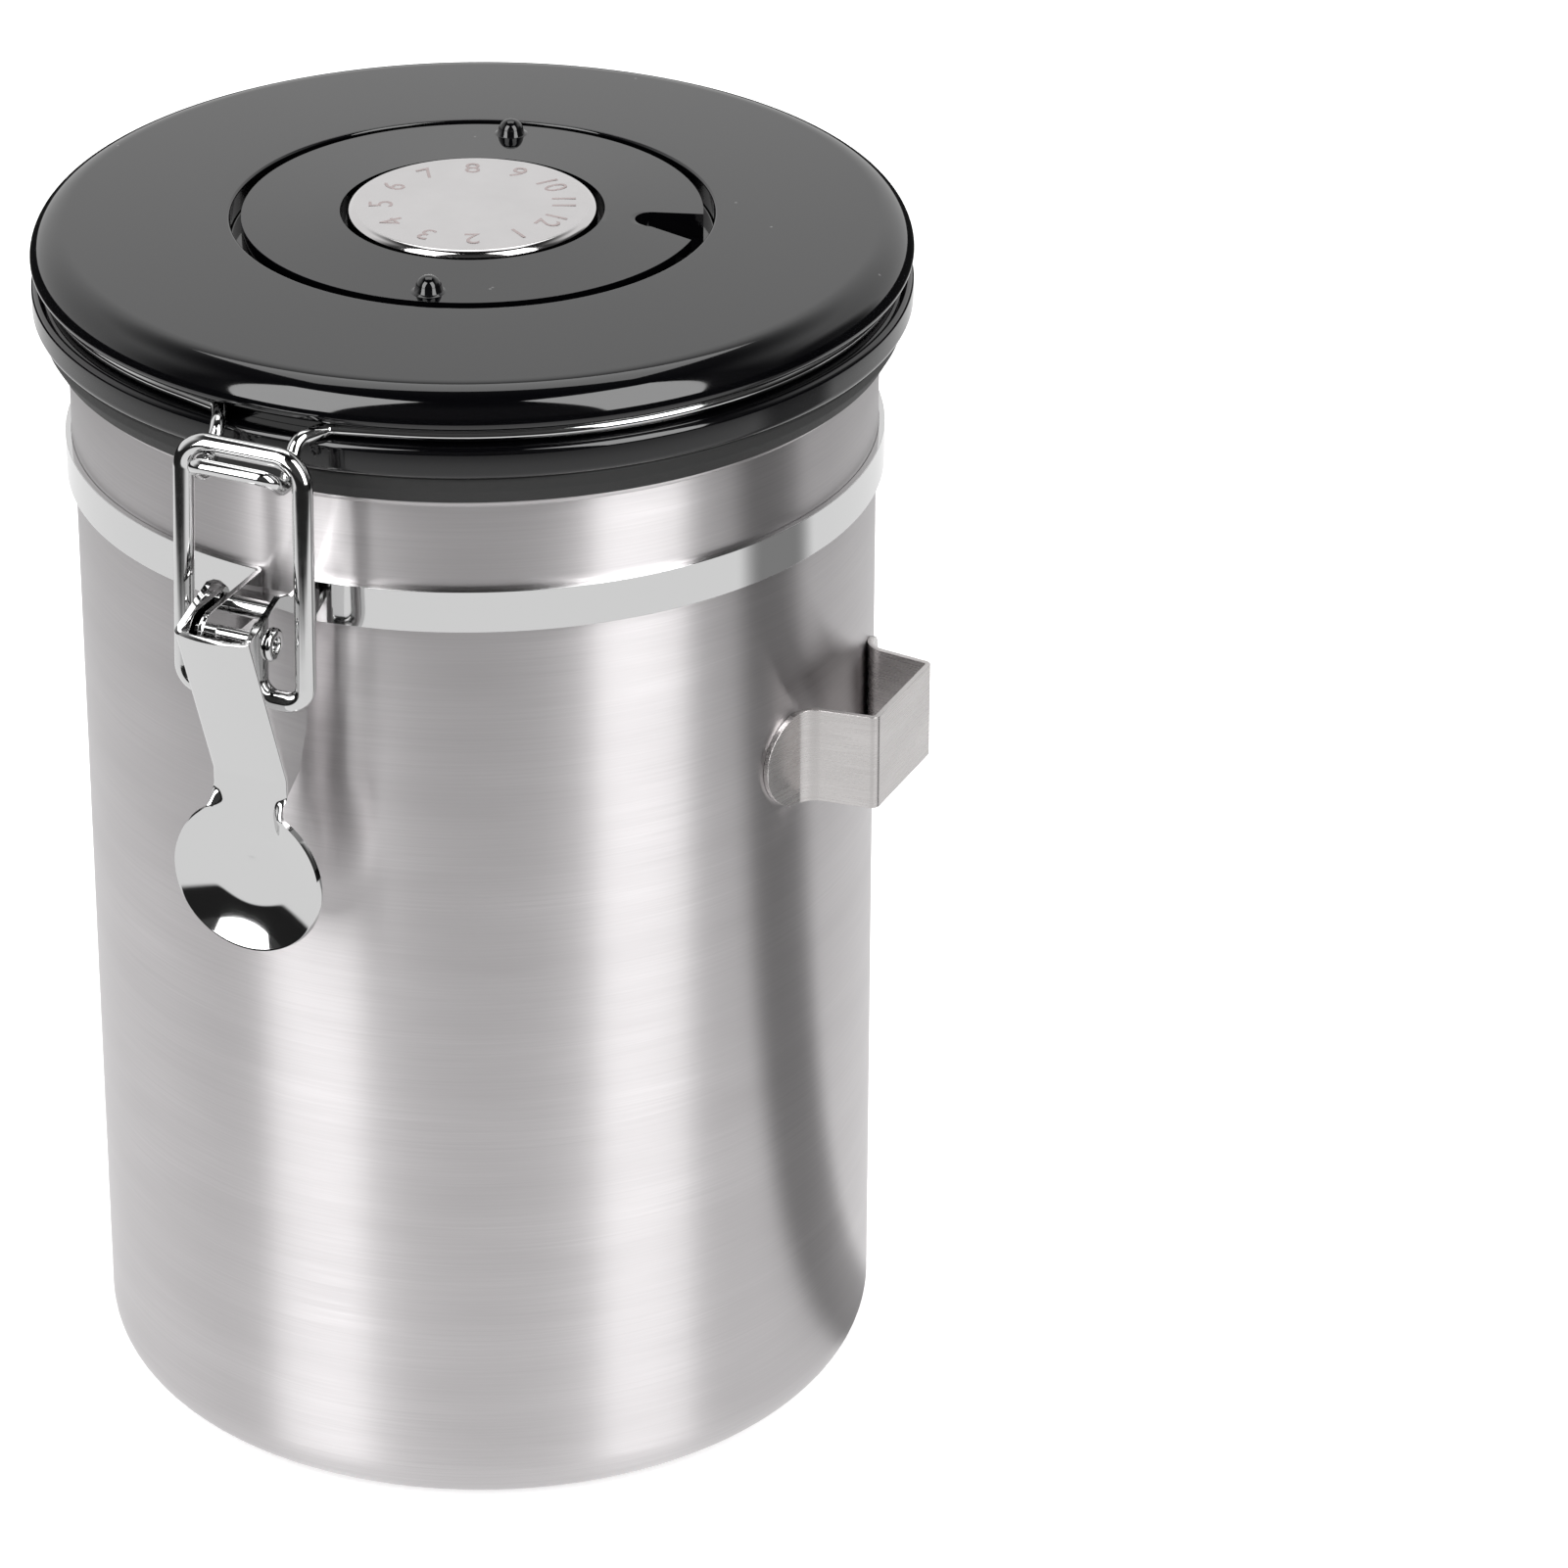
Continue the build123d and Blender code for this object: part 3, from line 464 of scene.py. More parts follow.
def strip(name, path, low, high, end_radius, sheet, material, body, slot, replaced, edge=0.15):
    """A sheet strip on edge: a level path of (x, y, bend radius), its two ends rounded in height."""
    line = line_points(open_outline([(x, y, 0, bend) for x, y, bend in path]))
    runs = [0.0]
    for first, second in zip(line, line[1:]):
        runs.append(runs[-1] + (second - first).length / MM)
    length = runs[-1]
    cap_steps = 12
    least = 0.03
    turns = [math.pi / 2 * i / cap_steps for i in range(cap_steps + 1)]
    caps = [end_radius * (1 - math.cos(turn)) for turn in turns]
    stops = sorted(runs + caps + [length - cap for cap in caps])
    stops = [stop for stop, after in zip(stops, stops[1:]) if after - stop > least] + [length]
    bm = bmesh.new()
    columns = []
    for stop in stops:
        spot = along(line, stop / length)
        short = max(end_radius - min(stop, length - stop), 0)
        half = (high - low) / 2 - end_radius + math.sqrt(max(end_radius**2 - short**2, 0))
        rows = (0,) if half < 0.05 else (-half, half)
        columns.append([bm.verts.new((spot.x, spot.y, ((low + high) / 2 + row) * MM)) for row in rows])
    for first, second in zip(columns, columns[1:]):
        bm.faces.new(first + second[::-1])
    bmesh.ops.recalc_face_normals(bm, faces=bm.faces[:])
    piece = add_piece(name, mesh_from(bm, name), material, body, replaced)
    thicken(piece, sheet, edge)
    return piece


def thicken(piece, sheet, edge):
    """Gives a surface its sheet thickness and softly broken edges."""
    solid = piece.modifiers.new("sheet", "SOLIDIFY")
    solid.thickness = sheet * MM
    solid.offset = 0
    solid.use_even_offset = True
    broken = piece.modifiers.new("broken_edge", "BEVEL")
    broken.width = edge * MM
    broken.segments = 3
    broken.limit_method = "ANGLE"
    broken.angle_limit = math.radians(50)
    weigh_normals(piece)


def arc(radius, first_deg, last_deg, step_deg):
    """Points of a level arc about the can's axis, in millimetres."""
    count = max(2, round(abs(last_deg - first_deg) / step_deg))
    turns = [math.radians(first_deg + (last_deg - first_deg) * i / count) for i in range(count + 1)]
    return [(radius * math.cos(t), radius * math.sin(t)) for t in turns]


# The can and the band round its neck

def make_can():
    neck_low, neck_high = NECK_Z
    flat = CAN_R - BASE_CORNER_R
    step_r, curl_foot_r, curl_r = 0.4, 0.8, 0.9
    turned(
        "steel_can",
        [
            (0, 0, 0),
            (flat, 0, 0),
            *[
                (flat + BASE_CORNER_R * math.sin(t), BASE_CORNER_R * (1 - math.cos(t)), 0)
                for t in [math.radians(5 * i) for i in range(1, 18)]
            ],
            (CAN_R, BASE_CORNER_R, 0),
            (CAN_R, neck_low, step_r),
            (NECK_R, neck_high, step_r),
            (NECK_R, CAN_Z - 2 * BEAD_R, 0.3),
            (RIM_R + BEAD_R, CAN_Z - 2 * BEAD_R, curl_foot_r),
            (RIM_R + BEAD_R, CAN_Z, curl_r),
            (NECK_R - CAN_WALL, CAN_Z, curl_r),
            (NECK_R - CAN_WALL, neck_high, step_r),
            (CAN_R - CAN_WALL, neck_low, step_r),
            (CAN_R - CAN_WALL, CAN_WALL, BASE_CORNER_R - CAN_WALL),
            (0, CAN_WALL, 0),
        ],
        256,
        BODY_STEEL,
        "can",
        ["can_shell"],
        closed=False,
    )


def make_band():
    fold = 1.1
    run = 2.0
    ear_end = -(LEVER_PIVOT[0] + 3.2)
    ear_foot = -math.sqrt(BAND_R**2 - EAR_X**2)
    strip_x = EAR_X + run
    strip_angle = math.degrees(math.asin(strip_x / BAND_R))
    round_neck = arc(BAND_R, 270 - strip_angle, strip_angle - 90, 2.0)
    strip(
        "neck_band",
        [
            (-EAR_X, ear_end, 0),
            (-EAR_X, ear_foot, fold),
            *[(x, y, 0) for x, y in round_neck],
            (EAR_X, ear_foot, fold),
            (EAR_X, ear_end, 0),
        ],
        *BAND_Z,
        (BAND_Z[1] - BAND_Z[0]) / 2,
        SHEET,
        MIRROR_STEEL,
        "can",
        "latch_steel",
        ["clamp_band"],
    )


# The latch

# Side view in (radius, height): the plate's front and the flanges' back, from the top down
LEVER_FRONT = ((84.4, 155.6), (74.0, 129.6), (73.9, 126.8))
LEVER_BACK = ((74.4, 159.0), (72.1, 158.4), (69.6, 156.2), (67.9, 152.6), (66.8, 136.1), (69.5, 129.6))
LEVER_BEND_R = 1.15
LEVER_EDGE_R = 0.18
PLATE_CROWN = 0.8
PLATE_BACK = 0.82
# Of the blank's half width, the plate ends and the flange starts here, and the channel has half its rows
PLATE_SHARE = 0.60
BEND_SHARE = 0.74
CHANNEL_ROWS = 0.5
PAD_MID = (75.3, 113.8)
PAD_R = 11.8
NECK_HALF_W = 5.7
NECK_TOP = (5.0, 9.0)
NECK_SIDE = (4.0, 5.6)
NECK_BLEND = 0.22
DISH = 2.2
DISH_FLAT_R = 3.0
DISH_POWER = 1.4
DOME_R = 6.5
DOME_H = 0.5


def pad_out(across, up):
    """How far out the pad's pressed surface lies at a place on it."""
    from_mid = math.hypot(across, up - PAD_MID[1])
    neck = smoothstep(*NECK_TOP, up - PAD_MID[1]) * (1 - smoothstep(*NECK_SIDE, abs(across)))
    rim = (max(from_mid - DISH_FLAT_R, 0) / (PAD_R - DISH_FLAT_R)) ** DISH_POWER
    dome = 1 - smoothstep(0.0, DOME_R, from_mid)
    pressed = PAD_MID[0] - DISH + DISH * min(rim, 1) + DOME_H * dome
    return pressed + (LEVER_FRONT[-1][0] - pressed) * neck


def channel_point(across, row_share):
    """The blank's column 0 to 1 at a row of the channel: on the plate, round its bend, on the flange."""
    bend = LEVER_BEND_R - SHEET / 2
    flat = (LEVER_W - SHEET) / 2 - bend
    front = along(LEVER_FRONT, row_share)
    back = along(LEVER_BACK, row_share)
    inward = (back - front).normalized()
    turn = math.pi / 2 * min(max((across - PLATE_SHARE) / (BEND_SHARE - PLATE_SHARE), 0), 1)
    x = flat * min(across / PLATE_SHARE, 1) + bend * math.sin(turn)
    deep = bend * (1 - math.cos(turn))
    if across > BEND_SHARE:
        deep += ((back - front).length - bend) * (across - BEND_SHARE) / (1 - BEND_SHARE)
    spot = front + inward * deep
    crown = PLATE_CROWN * (1 - (x / flat) ** 2) if deep == 0 else 0
    return x, spot.x - SHEET / 2 + (crown - PLATE_BACK) * (1 - row_share), spot.y


def pad_point(across, down):
    """The blank's column -1 to 1 in the neck and the pad, down running from 0 at the plate to 2."""
    top = LEVER_FRONT[-1][1] - PAD_MID[1]
    if down < 1:
        up = top * (1 - down)
        round_half_w = math.sqrt(max(PAD_R**2 - up**2, 0))
        gap = round_half_w - NECK_HALF_W
        half_w = NECK_HALF_W + (gap + math.sqrt(gap * gap + 0.5)) / 2
        x = across * half_w
    else:
        low = down - 1
        x = PAD_R * across * math.sqrt(1 - low * low / 2)
        up = -PAD_R * low * math.sqrt(1 - across * across / 2)
    return x, pad_out(x, up + PAD_MID[1]) - SHEET / 2, up + PAD_MID[1]


def make_lever():
    """One blank: its upper rows are folded into a channel and its lower rows pressed into the pad."""
    bm = bmesh.new()
    bmesh.ops.create_grid(bm, x_segments=100, y_segments=120, size=1.0)
    spare = []
    for face in bm.faces:
        middle = face.calc_center_median()
        if abs(middle.x) > BEND_SHARE and middle.y < 1 - 2 * CHANNEL_ROWS:
            spare.append(face)
    bmesh.ops.delete(bm, geom=spare, context="FACES")
    for vertex in bm.verts:
        across, down = vertex.co.x, (1 - vertex.co.y) / 2
        side = math.copysign(1, across)
        x, spot_out, spot_up = channel_point(abs(across), min(down / CHANNEL_ROWS, 1))
        x *= side
        if down > CHANNEL_ROWS + 1e-6:
            lower = (down - CHANNEL_ROWS) / (1 - CHANNEL_ROWS) * 2
            pressed = pad_point(across / BEND_SHARE, lower)
            mix = smoothstep(0.0, NECK_BLEND, lower)
            x += (pressed[0] - x) * mix
            spot_out += (pressed[1] - spot_out) * mix
            spot_up = pressed[2] + (spot_up - LEVER_FRONT[-1][1]) * (1 - mix)
        vertex.co = out(spot_out, spot_up, x)
    bmesh.ops.recalc_face_normals(bm, faces=bm.faces[:])
    piece = add_piece(
        "thumb_lever", mesh_from(bm, "thumb_lever"), MIRROR_STEEL, "lever", ["latch_lever"]
    )
    thicken(piece, SHEET, LEVER_EDGE_R)
    return piece


def make_eyelet():
    """A tubular rivet through both flanges, its ends rolled over into thin round rings."""
    shank_r, bore_r, roll_r, head_r = 1.2, 0.95, 2.1, 2.65
    head_h, bore_h = 0.66, 1.6
    seat = LEVER_W / 2 + 2 * FIT
    end = [
        (0, seat - bore_h, 0),
        (bore_r, seat - bore_h, 0.2),
        (bore_r, seat + head_h, 0.42),
        (roll_r, seat + head_h, 0.3),
        (head_r, seat, 0.25),
        (shank_r, seat, 0.05),
    ]
    turned(
        "lever_eyelet",
        [(r, -z, corner) for r, z, corner in end] + end[::-1],
        64,
        MIRROR_STEEL,
        "can",
        ["lever_rivet"],
        closed=False,
        place=Matrix.Translation(out(*LEVER_PIVOT)) @ Matrix.Rotation(math.pi / 2, 4, "Y"),
    )


def make_link():
    past_flange = 0.25
    inner = LEVER_W / 2 - SHEET - past_flange
    foot_half, bar_half = LINK_HALF_W
    bar_out, bar_up = LINK_BAR
    foot_out, foot_up = LINK_PIVOT
    wire(
        "link_frame",
        [
            (-inner, -foot_out, foot_up, 0),
            (-foot_half, -foot_out, foot_up, 3.0),
            (-bar_half, -bar_out, bar_up, 4.0),
            (bar_half, -bar_out, bar_up, 4.0),
            (foot_half, -foot_out, foot_up, 3.0),
            (inner, -foot_out, foot_up, 0),
        ],
        LINK_D,
        WIRE_STEEL,
        "link",
        ["link_wire"],
    )


# The wire round the lid, with its nose and its hinge bar

# Where the wire leaves its slot: how far to the side, and its run before it turns outward
NOSE_HALF_W = 6.2
NOSE_LEAVES = (17.4, 9.0)
NOSE = ((67.6, 181.0, 2.5), (71.6, 174.8, 1.5), (75.7, 178.2, 2.0))
BAR_HALF_W = 8.6
BAR_LEAVES = (11.6, 2.6)


def leave_slot(half_w, run):
    """Where the wire turns outward, a run after it leaves its slot, and the angle of the leaving place."""
    angle = math.asin(half_w / BAIL_R)
    turn = (half_w - run * math.cos(angle), BAIL_R * math.cos(angle) + run * math.sin(angle))
    return turn, math.degrees(angle)


def make_bail():
    nose_turn, nose_angle = leave_slot(*NOSE_LEAVES)
    bar_turn, bar_angle = leave_slot(*BAR_LEAVES)
    nose = [(*nose_turn, BAIL_Z, 1.6)] + [(NOSE_HALF_W, *corner) for corner in NOSE]
    bar = [
        (*bar_turn, BAIL_Z, 1.6),
        (BAR_HALF_W, HINGE[0], BAIL_Z, 2.5),
        (BAR_HALF_W, *HINGE, 2.0),
    ]
    right = arc(BAIL_R, nose_angle - 90, 90 - bar_angle, 2.0)
    left = arc(BAIL_R, 90 + bar_angle, 270 - nose_angle, 2.0)
    path = [(x, y, BAIL_Z, 0) for x, y in right]
    path += [(x, y, z, bend) for x, y, z, bend in bar]
    path += [(-x, y, z, bend) for x, y, z, bend in reversed(bar)]
    path += [(x, y, BAIL_Z, 0) for x, y in left]
    path += [(-x, -y, z, bend) for x, y, z, bend in nose]
    path += [(x, -y, z, bend) for x, y, z, bend in reversed(nose)]
    path.append(path[0])
    wire("lid_wire", path, BAIL_D, WIRE_STEEL, "lid", ["bail_wire"], closed=True)


# The lid

def make_lid():
    shoulder = (5.3, 4.6)
    lip = 1.4
    wall = 2.2
    vent_r = 6.05
    shoulder_z = LID_TOP - shoulder[1]
    tongue = (59.0, 60.5)
    tongue_low = LID_SPLIT - 2.7
    split = LID_SPLIT + FIT
    crown_rise = (RECESS_TOP - LID_TOP) / ((LID_R - shoulder[0]) ** 2 - RECESS_R**2)
    crown = [RECESS_R + (LID_R - shoulder[0] - RECESS_R) * i / 6 for i in range(1, 6)]
    rounded = [math.radians(a) for a in range(0, 91, 6)]
    turned(
        "lid_top",
        [
            (vent_r, RECESS_Z - wall, 0),
            (vent_r, RECESS_Z, 0),
            (RECESS_R, RECESS_Z, 0.3),
            (RECESS_R, RECESS_TOP, 0.4),
            *[(r, RECESS_TOP - crown_rise * (r * r - RECESS_R**2), 0) for r in crown],
            *[
                (LID_R - shoulder[0] * (1 - math.sin(t)), shoulder_z + shoulder[1] * math.cos(t), 0)
                for t in rounded
            ],
            *[
                (LID_R - lip * (1 - math.cos(t)), shoulder_z - (shoulder_z - SLOT_TOP) * math.sin(t), 0)
                for t in rounded[1:]
            ],
            (SLOT_R, SLOT_TOP, 0.2),
            (SLOT_R, split, 0),
            (tongue[1], split, 0),
            (tongue[1], tongue_low, 0.2),
            (tongue[0], tongue_low, 0.2),
            (tongue[0], shoulder_z, 1.0),
            (LID_R - shoulder[0] - 0.9, LID_TOP - wall, 2.0),
            (RECESS_R + wall, LID_TOP - wall, 0.5),
            (RECESS_R + wall, RECESS_Z - wall, 0.5),
        ],
        320,
        LID_BLACK,
        "lid",
        ["lid_cover"],
    )
    well_r = 15.05
    plug = (56.6, 58.4)
    plug_z = (164.6, 179.5)
    floor_z = (167.0, 169.0)
    pocket = (tongue[0] - FIT, tongue[1] + FIT)
    pocket_z = tongue_low - FIT
    turned(
        "lid_plug",
        [
            (well_r, floor_z[0], 0),
            (plug[0], floor_z[0], 0.6),
            (plug[0], plug_z[0], 0.6),
            (plug[1], plug_z[0], 0.6),
            (plug[1], LID_LOW, 0.2),
            (LID_R, LID_LOW, 1.3),
            (LID_R, LID_SPLIT, 0.9),
            (pocket[1], LID_SPLIT, 0.15),
            (pocket[1], pocket_z, 0),
            (pocket[0], pocket_z, 0),
            (pocket[0], plug_z[1], 0),
            (plug[0], plug_z[1], 0),
            (plug[0], floor_z[1], 0.6),
            (well_r, floor_z[1], 0),
        ],
        256,
        LID_BLACK,
        "lid",
        ["lid_base"],
    )
    turned(
        "lid_seal",
        [
            (plug[1] + FIT, LID_LOW - FIT, 0),
            (64.3, LID_LOW - FIT, 0.5),
            (63.75, 172.8, 1.5),
            (62.4, 170.5, 0.25),
            (61.8, 170.5, 0.2),
            (61.8, 171.3, 0.1),
            (59.1, 171.3, 0.2),
            (59.1, 169.3, 0.3),
            (plug[1] + FIT, 168.7, 0.2),
        ],
        256,
        SEAL_BLACK,
        "lid",
        ["lid_gasket"],
    )


# The date ring and the dial

RING_TURN = 17.0
# The notch: where its round inner end is centred and that end's radius, and its two sides at the rim
NOTCH_IN = (27.0, 2.75)
NOTCH_OUT = (-6.4, 3.5)
STUD_AT = 30.4
STUD_TURNS = (267.7, 88.6)
STUD_R = 1.95
STUD_H = 2.4
NUMERAL_AT = 13.3
NUMERAL_H = 5.2
ELEVEN_AT = 26.5


def ring_top(radius):
    """The height of the ring's crowned top at a radius."""
    return RING_TOP + (RECESS_TOP - RING_TOP) * (radius - RING_BORE_R) / (RING_R - RING_BORE_R)


def make_date_ring():
    """Lines of quads run from the bore out to the rim or the notch, and the plate is then made thick."""
    edge = 0.35
    inner, half_w = NOTCH_IN
    first, last = [math.degrees(math.asin(side / RING_R)) for side in reversed(NOTCH_OUT)]
    outline = arc(RING_R, first, 360 + last, 1.5)
    outline += [(inner - x, y) for x, y in arc(half_w, -90, 90, 10)]
    low = RECESS_Z + FIT
    steps = 5
    bm = bmesh.new()
    grid = []
    for x, y in outline:
        far = math.hypot(x, y)
        line = []
        for step in range(steps + 1):
            radius = RING_BORE_R + (far - RING_BORE_R) * step / steps
            height = ring_top(radius)
            line.append(bm.verts.new(Vector((x * radius / far, y * radius / far, height)) * MM))
        grid.append(line)
    for line, after in zip(grid, grid[1:] + grid[:1]):
        for step in range(steps):
            bm.faces.new((line[step], line[step + 1], after[step + 1], after[step]))
    rim = [side for side in bm.edges if side.is_boundary]
    walls = bmesh.ops.extrude_edge_only(bm, edges=rim)["geom"]
    for part in walls:
        if isinstance(part, bmesh.types.BMVert):
            part.co.z = low * MM
    bmesh.ops.recalc_face_normals(bm, faces=bm.faces[:])
    bmesh.ops.bevel(
        bm,
        geom=rim,
        offset=edge * MM,
        segments=3,
        profile=0.5,
        affect="EDGES",
        material=-1,
        clamp_overlap=True,
    )
    mesh = mesh_from(bm, "date_ring_plate")
    mesh.transform(Matrix.Rotation(math.radians(RING_TURN), 4, "Z"))
    ring = add_piece("date_ring_plate", mesh, LID_BLACK, "ring", ["date_ring"], 25.0)
    weigh_normals(ring)
    for number, turn in enumerate(STUD_TURNS):
        make_stud(f"date_ring_stud_{number + 1}", math.radians(turn + RING_TURN))


def make_stud(name, turn):
    """A moulded finger stud: slightly waisted, with a domed top and a soft foot."""
    dome = STUD_R - 0.16
    flattened = 0.82
    outline = [(0, 0), (STUD_R + 0.7, 0), (STUD_R + 0.18, 0.16), (STUD_R, 0.6), (STUD_R - 0.12, 1.1)]
    outline += [
        (dome * math.cos(t), STUD_H - flattened * dome * (1 - math.sin(t)))
        for t in [math.radians(a) for a in range(0, 90, 10)]
    ]
    outline.append((0, STUD_H))
    place = Vector((STUD_AT * math.cos(turn), STUD_AT * math.sin(turn), ring_top(STUD_AT) - FIT)) * MM
    turned(
        name,
        [(r, z, 0) for r, z in outline],
        48,
        LID_BLACK,
        "ring",
        [],
        closed=False,
        place=Matrix.Translation(place),
    )


def make_dial():
    cap = 0.6
    low = DIAL_LOW
    turned(
        "dial_face",
        [
            (0, DIAL_TOP, 0),
            (DIAL_R - 5.0, DIAL_TOP - 0.02, 0),
            (DIAL_R, DIAL_TOP - 0.1, 1.2),
            (DIAL_R, low, 0.15),
            (DIAL_R - cap, low, 0.1),
            (DIAL_R - cap, DIAL_TOP - cap, 0.6),
            (0, DIAL_TOP - cap, 0),
        ],
        192,
        DIAL_STEEL,
        "lid",
        ["dial_cap"],
        closed=False,
    )
    marks = bmesh.new()
    mark = 0.01
    for numeral in range(1, 13):
        turn = math.radians(ELEVEN_AT + (11 - numeral) * 30)
        text = bpy.data.curves.new("numeral", "FONT")
        text.body = str(numeral)
        text.size = NUMERAL_H * MM
        text.align_x = "CENTER"
        text.align_y = "CENTER"
        text.offset = -mark * MM
        text.extrude = mark * MM
        text.resolution_u = 4
        holder = bpy.data.objects.new("numeral", text)
        mesh = bpy.data.meshes.new_from_object(holder)
        bpy.data.objects.remove(holder)
        mesh.transform(
            Matrix.Rotation(turn - math.pi / 2, 4, "Z") @ Matrix.Translation((0, NUMERAL_AT * MM, 0))
        )
        mesh.transform(Matrix.Translation((0, 0, DIAL_TOP * MM)))
        marks.from_mesh(mesh)
        bpy.data.meshes.remove(mesh)
    add_piece("dial_numerals", mesh_from(marks, "dial_numerals"), MARK_GREY, "lid", [])


# The scoop holder

HOLDER_FACE = 70.5
HOLDER_W = 20.7
HOLDER_Z = (109.6, 124.6)


def make_holder():
    sheet = 0.8
    wing = CAN_R + FIT + sheet / 2
    wing_start = 13.8
    wing_end = 20.2
    wing_flat = 2.6
    wing_deg = math.degrees(math.asin(wing_start / wing))
    end_deg = math.degrees(math.asin(wing_end / wing))
    turn = math.radians(wing_deg)
    foot = (wing * math.cos(turn) + wing_flat * math.sin(turn), wing_start - wing_flat * math.cos(turn))
    face = HOLDER_FACE - sheet / 2
    half = (HOLDER_W - sheet) / 2
    one_side = [(x, y, 0) for x, y in arc(wing, end_deg, wing_deg, 1.0)]
    one_side += [(*foot, 3.4), (face, half, 0.9)]
    path = one_side + [(x, -y, bend) for x, y, bend in reversed(one_side)]
    strip(
        "scoop_strip",
        path,
        *HOLDER_Z,
        (HOLDER_Z[1] - HOLDER_Z[0]) / 2,
        sheet,
        STRIP_STEEL,
        "can",
        "holder_steel",
        ["scoop_holder"],
        edge=0.12,
    )


# CAD pieces that keep their shape and get their finish

def finish_cad_nodes():
    finishes = {
        "clamp_spacer": MIRROR_STEEL,
        "clamp_tie": MIRROR_STEEL,
        "hinge_bracket": MIRROR_STEEL,
        "hinge_rivets": MIRROR_STEEL,
        "dial_core": VALVE_BLACK,
        "valve_body": VALVE_BLACK,
        "valve_cap": VALVE_BLACK,
        "valve_screen": VALVE_BLACK,
        "valve_flap": FLAP_GREY,
        "valve_filter": FELT_WHITE,
    }
    for name, material in finishes.items():
        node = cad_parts[name]
        node.data.materials.clear()
        node.data.materials.append(material)


# Camera, floor and lights

# Where the paper ends in a mirror, in metres from the can, and the azimuths in degrees of a dark flag that
# only mirrors see; on the floor it is a painted dark wedge
PAPER_M = (0.43, 0.50)
FLAG_AZ = 100
FLOOR_FLAG_AZ = 86
SKY = 0.55
FLOOR_LIFT = 0.25


def make_camera():
    tilt_down = VIEW_ELEVATION
    place = Vector((0, -math.cos(tilt_down), math.sin(tilt_down))) * VIEW_DISTANCE
    place.z += VIEW_TARGET_Z
    ahead = Vector((0, math.cos(tilt_down), -math.sin(tilt_down)))
    right = Vector((1, 0, 0))
    up = right.cross(ahead)
    pan = Matrix.Rotation(VIEW_PAN, 3, up)
    ahead, right = pan @ ahead, pan @ right
    tilt = Matrix.Rotation(VIEW_TILT, 3, right)
    ahead, up = tilt @ ahead, tilt @ up
    roll = Matrix.Rotation(VIEW_ROLL, 3, ahead)
    right, up = roll @ right, roll @ up
    turn = Matrix.Rotation(VIEW_TURN, 3, "Z")
    axes = Matrix((turn @ right, turn @ up, turn @ -ahead)).transposed()
    data = bpy.data.cameras.new("camera")
    data.sensor_width = SENSOR_MM
    data.lens = SENSOR_MM * FOCAL_PX / IMAGE_PX
    data.clip_start = 0.05
    data.clip_end = 20
    camera = bpy.data.objects.new("camera", data)
    camera.matrix_world = Matrix.Translation(turn @ place) @ axes.to_4x4()
    bpy.context.scene.collection.objects.link(camera)
    bpy.context.scene.camera = camera


def studio_direction(azimuth_deg, elevation_deg):
    """A direction from the can: azimuth is from the camera's side, positive to the camera's right."""
    a = math.radians(azimuth_deg) + VIEW_TURN
    e = math.radians(elevation_deg)
    return Vector((math.sin(a) * math.cos(e), -math.cos(a) * math.cos(e), math.sin(e)))


def softbox(name, azimuth_deg, elevation_deg, distance, width, height, watts):
    data = bpy.data.lights.new(name, "AREA")
    data.shape = "RECTANGLE"
    data.size = width
    data.size_y = height
    data.energy = watts
    lamp = bpy.data.objects.new(name, data)
    direction = studio_direction(azimuth_deg, elevation_deg)
    target = Vector((0, 0, 0.1))
    lamp.matrix_world = (
        Matrix.Translation(target + direction * distance)
        @ direction.to_track_quat("Z", "Y").to_matrix().to_4x4()
    )
    lamp.visible_camera = False
    bpy.context.scene.collection.objects.link(lamp)


def eased(tree, value, first, last, to_first, to_last):
    """Carries a value smoothly from one level to another between two stops."""
    limits = {"From Min": first, "From Max": last, "To Min": to_first, "To Max": to_last}
    return add(
        tree, "ShaderNodeMapRange", {"Value": value, **limits}, interpolation_type="SMOOTHSTEP"
    ).outputs["Result"]


def worked(tree, kind, operation, first, second):
    """Works out one value from two."""
    return add(tree, kind, {0: first, 1: second}, operation=operation).outputs["Value"]


def make_world():
    """A white sweep behind the can and a darker room in front, as metal and gloss would show it."""
    world = bpy.data.worlds.new("studio")
    bpy.context.scene.world = world
    world.use_nodes = True
    tree = world.node_tree
    shader = tree.nodes["Background"]
    shader.inputs["Color"].default_value = (1, 1, 1, 1)
    way = add(tree, "ShaderNodeTexCoord").outputs["Generated"]
    vector, number = "ShaderNodeVectorMath", "ShaderNodeMath"
    back = worked(tree, vector, "DOT_PRODUCT", way, -studio_direction(0, 0))
    height = add(tree, "ShaderNodeSeparateXYZ", {0: way}).outputs["Z"]
    behind = eased(tree, back, -0.25, 0.35, 0.06, 1.0)
    ceiling = eased(tree, height, 0.55, 0.85, 1.0, 0.05)
    side = worked(tree, vector, "DOT_PRODUCT", way, studio_direction(FLAG_AZ, 0))
    flag = eased(tree, side, 0.90, 0.985, 1.0, 0.12)
    dimmed = worked(tree, number, "MULTIPLY", behind, flag)
    room = worked(tree, number, "MULTIPLY", dimmed, ceiling)
    path = add(tree, "ShaderNodeLightPath")
    mirrored = add(
        tree, "ShaderNodeMix", {0: path.outputs["Is Glossy Ray"], 2: SKY, 3: room}, data_type="FLOAT"
    )
    seen = add(
        tree,
        "ShaderNodeMix",
        {0: path.outputs["Is Camera Ray"], 2: mirrored.outputs[0], 3: 1.0},
        data_type="FLOAT",
    )
    tree.links.new(seen.outputs[0], shader.inputs["Strength"])


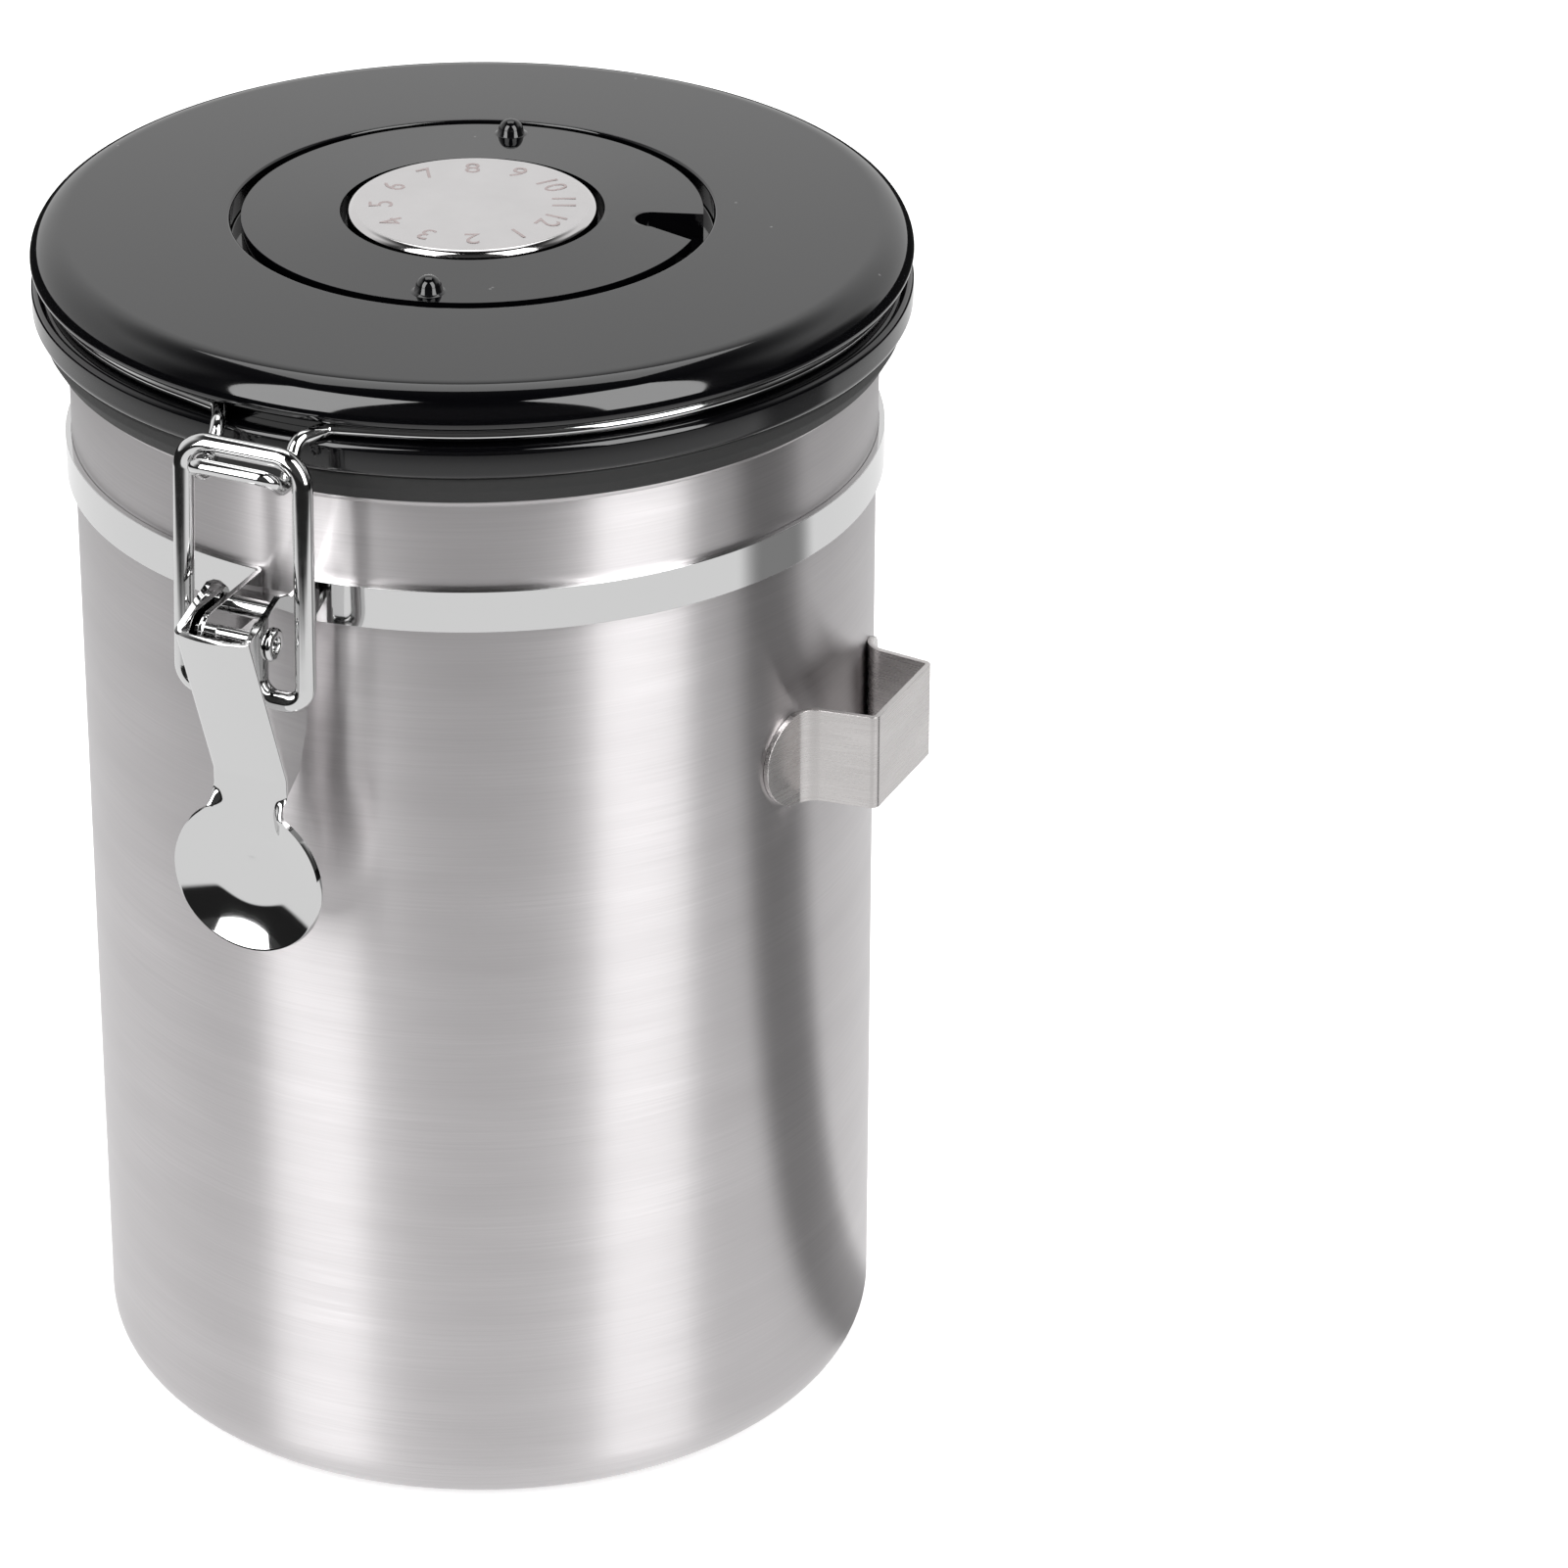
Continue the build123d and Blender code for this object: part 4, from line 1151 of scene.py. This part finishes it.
def make_floor():
    """White paper that runs up into the white background. To mirrors it glows instead, a painted reflection
    that ends in the dark room and has a painted dark wedge.
    """
    bm = bmesh.new()
    bmesh.ops.create_circle(bm, cap_ends=True, segments=96, radius=6.0)
    floor = bpy.data.objects.new("floor", mesh_from(bm, "floor"))
    material, tree, shader, place = new_material("white_sweep")
    tooth = stretched(tree, place, (1.2,) * 3, detail=2.0)
    tree.links.new(tinted(tree, tooth, "#F2F2F2", "#FAFAFA"), shader.inputs["Base Color"])
    shader.inputs["Roughness"].default_value = 0.6
    path = add(tree, "ShaderNodeLightPath")
    number = "ShaderNodeMath"
    lift = worked(tree, number, "MULTIPLY", path.outputs["Is Camera Ray"], FLOOR_LIFT)
    tree.links.new(lift, shader.inputs["Emission Strength"])
    shader.inputs["Emission Color"].default_value = (1, 1, 1, 1)
    reach = add(tree, "ShaderNodeVectorMath", {0: place}, operation="LENGTH").outputs["Value"]
    sheet = eased(tree, reach, *PAPER_M, 1.0, 0.02)
    away = add(tree, "ShaderNodeVectorMath", {0: place}, operation="NORMALIZE").outputs["Vector"]
    side = worked(
        tree, "ShaderNodeVectorMath", "DOT_PRODUCT", away, studio_direction(FLOOR_FLAG_AZ, 0)
    )
    # A dark wedge painted on the floor for glossy rays only, which paints a dark reflected band on the can's
    # side
    flag = eased(tree, side, 0.965, 0.995, 1.0, 0.3)
    bright = worked(tree, number, "MULTIPLY", sheet, flag)
    # Glossy rays see the floor as this glow, painted light in place of the lit paper
    mirrored = add(tree, "ShaderNodeEmission", {"Strength": bright}).outputs["Emission"]
    seen = add(
        tree,
        "ShaderNodeMixShader",
        {0: path.outputs["Is Glossy Ray"], 1: shader.outputs["BSDF"], 2: mirrored},
    )
    tree.links.new(seen.outputs["Shader"], tree.nodes["Material Output"].inputs["Surface"])
    floor.data.materials.append(material)
    bpy.context.scene.collection.objects.link(floor)


bpy.context.scene.view_settings.view_transform = "Standard"
make_camera()
make_world()
make_floor()
softbox("left_softbox", -48, 32, distance=1.5, width=0.80, height=1.9, watts=30)
softbox("right_softbox", 44, 32, distance=1.5, width=0.78, height=1.9, watts=28)
softbox("top_softbox", 180, 66, distance=1.6, width=1.0, height=0.8, watts=6)

make_can()
make_band()
make_lever()
make_eyelet()
make_link()
make_bail()
make_lid()
make_date_ring()
make_dial()
make_holder()
finish_cad_nodes()
